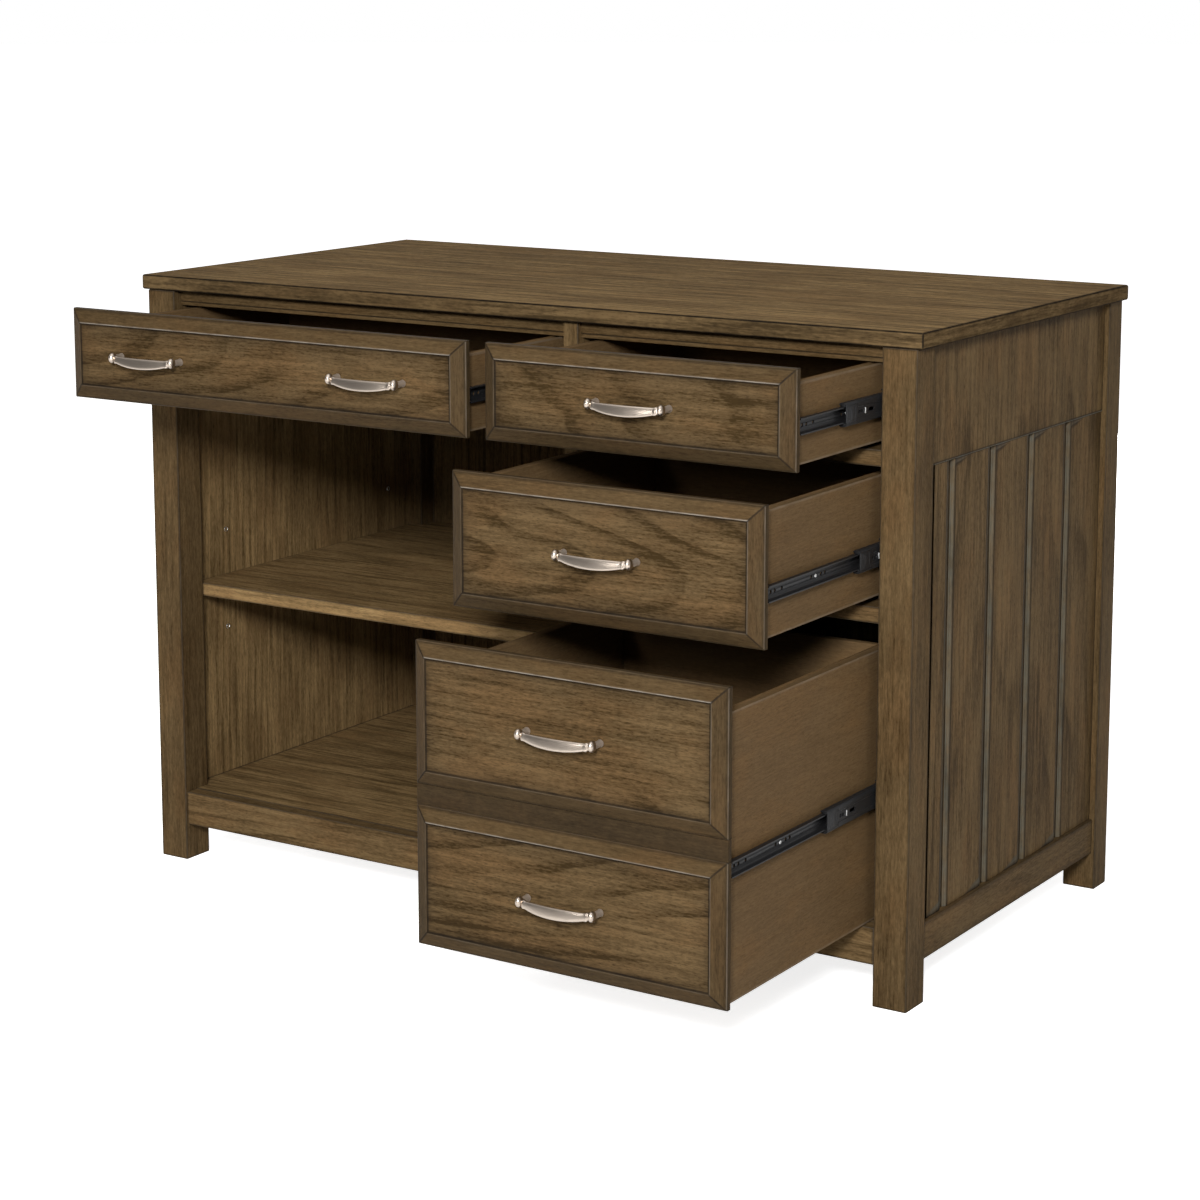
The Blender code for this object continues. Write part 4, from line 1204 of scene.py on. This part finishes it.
class CREDENZA_OT_case(bpy.types.Operator):
    """Stain the worktop, posts, rails, partition, shelf, bottom and back"""
    bl_idname = "credenza.case"
    bl_label = "Case boards"

    def execute(self, context):
        def board(node, grain, face, seed, slot, **values):
            cover(node, wood(f"{node}_wood", grain, face, seed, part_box(node), **values))
        # capped paints the worktop's upright sides darker than its top: painted shade.
        board("worktop", "x", "z", 1, "worktop_wood", tone="top", figure=0.16, spacing=0.013, tilt=0.012,
              pith=0.04, cloud=0.40, pores=0.40, edge=0.0046, glaze=1.25, planks=0.094, streaks=2.8,
              gloss=0.004, scale=0.8,
              lines=-0.30, fibres=1.2, worn=0.0, rough=0.12, capped=True)
        # The posts' stain is scaled down by shade: painted shade.
        for depth in ("front", "rear"):
            for number, word in enumerate(SIDES):
                board(f"post_{depth}_{word}", "z", "y", 3 + number + 2 * len(depth), "post_wood", shade=0.9,
                      figure=0.10, streaks=1.1, cloud=0.60, pores=0.40, lines=-0.10)
        for number, word in enumerate(SIDES):
            board(f"side_rail_{word}", "y", "x", 121 + number, "rail_wood", edge=0.008, glaze=0.6,
                  worn=0.0, **CALM)
        # The front base rail's stain is scaled up by shade: painted light.
        for number, node in enumerate(("front_base_rail", "rear_base_rail", "upper_drawer_rail",
                                       "lower_drawer_rail")):
            board(node, "x", "y", 131 + number, "rail_wood", shade=1.15 if number == 0 else 1.0, figure=0.25,
                  streaks=1.3, cloud=0.5)
        board("partition", "z", "x", 141, "side_wood", figure=0.3, streaks=1.4)
        # Shelf and bottom take the worktop's lighter stain, scaled up by shade: painted light in the open bay.
        board("bottom_panel", "x", "z", 151, "inside_wood", tone="top", shade=1.02, gloss=0.006, figure=0.35,
              spacing=0.014, streaks=2.2)
        board("shelf", "x", "z", 152, "inside_wood", tone="top", shade=1.14, gloss=0.006, figure=0.35,
              spacing=0.014, streaks=2.2)
        # The back panel's stain is scaled down by shade: painted shade.
        board("back_panel", "z", "y", 153, "inside_wood", shade=0.85, figure=0.3, streaks=1.4)
        return {"FINISHED"}


class CREDENZA_OT_sides(bpy.types.Operator):
    """Make the side panels' grooved boards and the cleats behind them"""
    bl_idname = "credenza.sides"
    bl_label = "Side boards"

    def execute(self, context):
        for word, side in SIDES.items():
            build_side(word, side, settings()[1])
        return {"FINISHED"}


class CREDENZA_OT_top_rail(bpy.types.Operator):
    """Make the moulded rail over the shallow drawers"""
    bl_idname = "credenza.top_rail"
    bl_label = "Top rail"

    def execute(self, context):
        build_top_rail()
        return {"FINISHED"}


class CREDENZA_OT_fronts(bpy.types.Operator):
    """Make the mitred drawer fronts"""
    bl_idname = "credenza.fronts"
    bl_label = "Drawer fronts"

    def execute(self, context):
        for number in DRAWERS:
            build_front(number, settings()[1])
        return {"FINISHED"}


class CREDENZA_OT_boxes(bpy.types.Operator):
    """Make the drawer boxes"""
    bl_idname = "credenza.boxes"
    bl_label = "Drawer boxes"

    def execute(self, context):
        for number in DRAWERS:
            build_box(number, settings()[1])
        return {"FINISHED"}


class CREDENZA_OT_pulls(bpy.types.Operator):
    """Make the bow pulls"""
    bl_idname = "credenza.pulls"
    bl_label = "Pulls"

    def execute(self, context):
        for node in sorted(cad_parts):
            if "_pull" in node:
                build_pull(node, int(node.split("_")[1]), settings()[1])
        return {"FINISHED"}


class CREDENZA_OT_slides(bpy.types.Operator):
    """Make the ball-bearing slides with their latches, balls and screws"""
    bl_idname = "credenza.slides"
    bl_label = "Slides"

    def execute(self, context):
        screw = small_part("screw_pattern", screw_head)
        bead = small_part("ball_pattern", ball)
        for number in DRAWERS:
            build_slides(number, settings()[1], screw, bead)
        return {"FINISHED"}


PIN_LINE = [(0.0, -0.002), (0.0025, -0.002), (0.0025, 0.0062), (0.0021, 0.0068), (0.0, 0.0070)]


class CREDENZA_OT_pins(bpy.types.Operator):
    """Make the shelf pins and the lined pin holes in the open bay"""
    bl_idname = "credenza.pins"
    bl_label = "Shelf pins and holes"

    def execute(self, context):
        lined = small_part("sleeve_pattern", sleeve)
        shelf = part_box("shelf")[0]
        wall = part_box("partition")[0].x + 0.009
        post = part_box("post_front_left")[1].y
        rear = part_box("post_rear_left")[0].y
        bm = bmesh.new()
        holes = [(y, z) for y in (post + 0.070, rear - 0.055)
                 for z in (shelf.z - 0.0553, shelf.z + 0.077)]
        for name, x, way in (("left", shelf.x - 0.001, 1), ("partition", wall, -1)):
            scatter(f"pin_holes_{name}", lined, [(x + way * 0.0004, y, z) for y, z in holes], (way, 0, 0),
                    bright_zinc(), CASE, 0.0034)
            for y in (shelf.y + 0.035, rear - 0.045):
                lathe(bm, PIN_LINE, (x, y, shelf.z - 0.0028), (way, 0, 0), 20)
        add_piece("shelf_pins", bm, [bright_zinc()], CASE)
        return {"FINISHED"}


LAMP_AIM = Vector((0.05, 0.0, 0.40))
LAMPS = (("key_lamp", (2.00, -3.50, 2.06), 0.7, "key", 1.0, True),
         ("top_lamp", (0.1, -0.9, 3.0), 2.6, "over", 1.0, True),
         ("side_lamp", (3.3, -0.6, 1.5), 1.6, "side", 1.0, True),
         ("back_lamp", (-0.6, 3.9, 0.5), 1.0, "rear", 1.0, False),
         ("left_lamp", (-3.7, 0.4, 0.6), 1.0, "rear", 0.6, False),
         ("fill_lamp", (-0.40, -3.6, 1.48), 0.36, "fill", 1.0, True))


def seen_directly(tree, path):
    """1 for rays from the camera and for what they meet in a mirror or through glass."""
    return tree.larger(path["Is Camera Ray"], tree.larger(path["Is Glossy Ray"], path["Is Transmission Ray"]))


class CREDENZA_OT_stage(bpy.types.Operator):
    """Set the camera, lamps, plain floor and white surroundings"""
    bl_idname = "credenza.stage"
    bl_label = "Stage"

    def execute(self, context):
        stage = settings()[2]
        scene = context.scene
        view = bpy.data.cameras.new("camera")
        view.lens = stage.lens
        view.sensor_width = 36.0
        view.shift_y = stage.shift
        view.clip_end = 200.0
        camera = show("camera", view)
        camera.location = stage.eye
        camera.rotation_euler = (math.pi / 2 - stage.tilt, 0.0, stage.turn)
        scene.camera = camera
        for name, place, size, setting, share, shiny in LAMPS:
            lamp = bpy.data.lights.new(name, "AREA")
            lamp.shape = "SQUARE"
            lamp.size = size
            lamp.energy = getattr(stage, setting) * share
            item = show(name, lamp)
            item.location = place
            item.rotation_euler = (LAMP_AIM - Vector(place)).to_track_quat("-Z", "Y").to_euler()
            item.visible_glossy = shiny
        world = bpy.data.worlds.new("white_surroundings")
        world.use_nodes = True
        tree = Tree(world.node_tree)
        back = world.node_tree.nodes["Background"]
        path = tree.add("ShaderNodeLightPath").outputs
        seen = seen_directly(tree, path)
        direction = tree.split(tree.add("ShaderNodeTexCoord").outputs["Generated"])
        room = tree.span(direction[1], -0.35, 0.25, 0.20, 1.0)
        room = tree.larger(room, tree.span(direction[2], 0.30, 0.75, 0.20, 0.90))
        shown = tree.larger(path["Is Camera Ray"], room)
        level = tree.plus(tree.times(shown, seen),
                          tree.times(tree.math("SUBTRACT", 1.0, seen), stage.sky))
        back.inputs["Color"].default_value = (1.0, 1.0, 1.0, 1.0)
        tree.put(back.inputs["Strength"], level)
        scene.world = world
        self.build_floor()
        scene.view_settings.view_transform = "Standard"
        return {"FINISHED"}

    def build_floor(self):
        """A wide floor that looks white to the camera and still takes a soft shadow."""
        bm = bmesh.new()
        bmesh.ops.create_circle(bm, cap_ends=True, segments=96, radius=40.0)
        made, tree, shader = new_material("pale_floor")
        coords = tree.add("ShaderNodeTexCoord").outputs["Object"]
        shade = tree.span(tree.noise(coords, (3.0, 3.0, 3.0), 3.0), 0.3, 0.7, 0.90, 0.94)
        tint = tree.add("ShaderNodeCombineColor")
        for socket in tint.inputs:
            tree.put(socket, shade)
        tree.put(shader.inputs["Base Color"], tint.outputs[0])
        shader.inputs["Roughness"].default_value = 0.9
        shader.inputs["Specular IOR Level"].default_value = 0.1
        glow = tree.add("ShaderNodeEmission")
        glow.inputs["Strength"].default_value = 1.0
        path = tree.add("ShaderNodeLightPath").outputs
        seen = seen_directly(tree, path)
        blend = tree.add("ShaderNodeAddShader")
        dark = tree.add("ShaderNodeMixShader")
        away = tree.vector("LENGTH", coords)
        near = tree.times(seen, tree.span(away, 0.8, 2.4, 0.48, 1.0))
        tree.put(dark.inputs[0], tree.larger(near, tree.times(path["Is Camera Ray"], 0.80)))
        nothing = tree.add("ShaderNodeEmission")
        nothing.inputs["Strength"].default_value = 0.0
        tree.put(dark.inputs[1], nothing.outputs[0])
        tree.put(dark.inputs[2], glow.outputs[0])
        tree.put(blend.inputs[0], shader.outputs[0])
        tree.put(blend.inputs[1], dark.outputs[0])
        output = made.node_tree.nodes["Material Output"]
        tree.put(output.inputs["Surface"], blend.outputs[0])
        show("floor", mesh_from("floor", bm, [made], recalc=False))


STEPS = (CREDENZA_OT_groups, CREDENZA_OT_case, CREDENZA_OT_sides, CREDENZA_OT_top_rail, CREDENZA_OT_fronts,
         CREDENZA_OT_boxes, CREDENZA_OT_pulls, CREDENZA_OT_slides, CREDENZA_OT_pins, CREDENZA_OT_stage)


class CREDENZA_PT_panel(bpy.types.Panel):
    """Steps and settings of the credenza"""
    bl_idname = "CREDENZA_PT_panel"
    bl_label = "Credenza"
    bl_space_type = "VIEW_3D"
    bl_region_type = "UI"
    bl_category = "Credenza"

    def draw(self, context):
        for step in STEPS:
            self.layout.operator(step.bl_idname)
        for group in settings():
            box = self.layout.box()
            for name in group.bl_rna.properties.keys():
                if name not in ("rna_type", "name"):
                    box.prop(group, name)


CLASSES = (CredenzaFinish, CredenzaSizes, CredenzaStage, *STEPS, CREDENZA_PT_panel)


def register():
    """Add the classes and the scene's settings."""
    for item in CLASSES:
        bpy.utils.register_class(item)
    bpy.types.Scene.credenza_finish = PointerProperty(type=CredenzaFinish)
    bpy.types.Scene.credenza_sizes = PointerProperty(type=CredenzaSizes)
    bpy.types.Scene.credenza_stage = PointerProperty(type=CredenzaStage)


def unregister():
    """Take the settings and classes away again."""
    del bpy.types.Scene.credenza_finish
    del bpy.types.Scene.credenza_sizes
    del bpy.types.Scene.credenza_stage
    for item in reversed(CLASSES):
        bpy.utils.unregister_class(item)


def main():
    """Dress the whole credenza."""
    register()
    for step in STEPS:
        group, name = step.bl_idname.split(".")
        getattr(getattr(bpy.ops, group), name)()


if __name__ == "__main__":
    main()
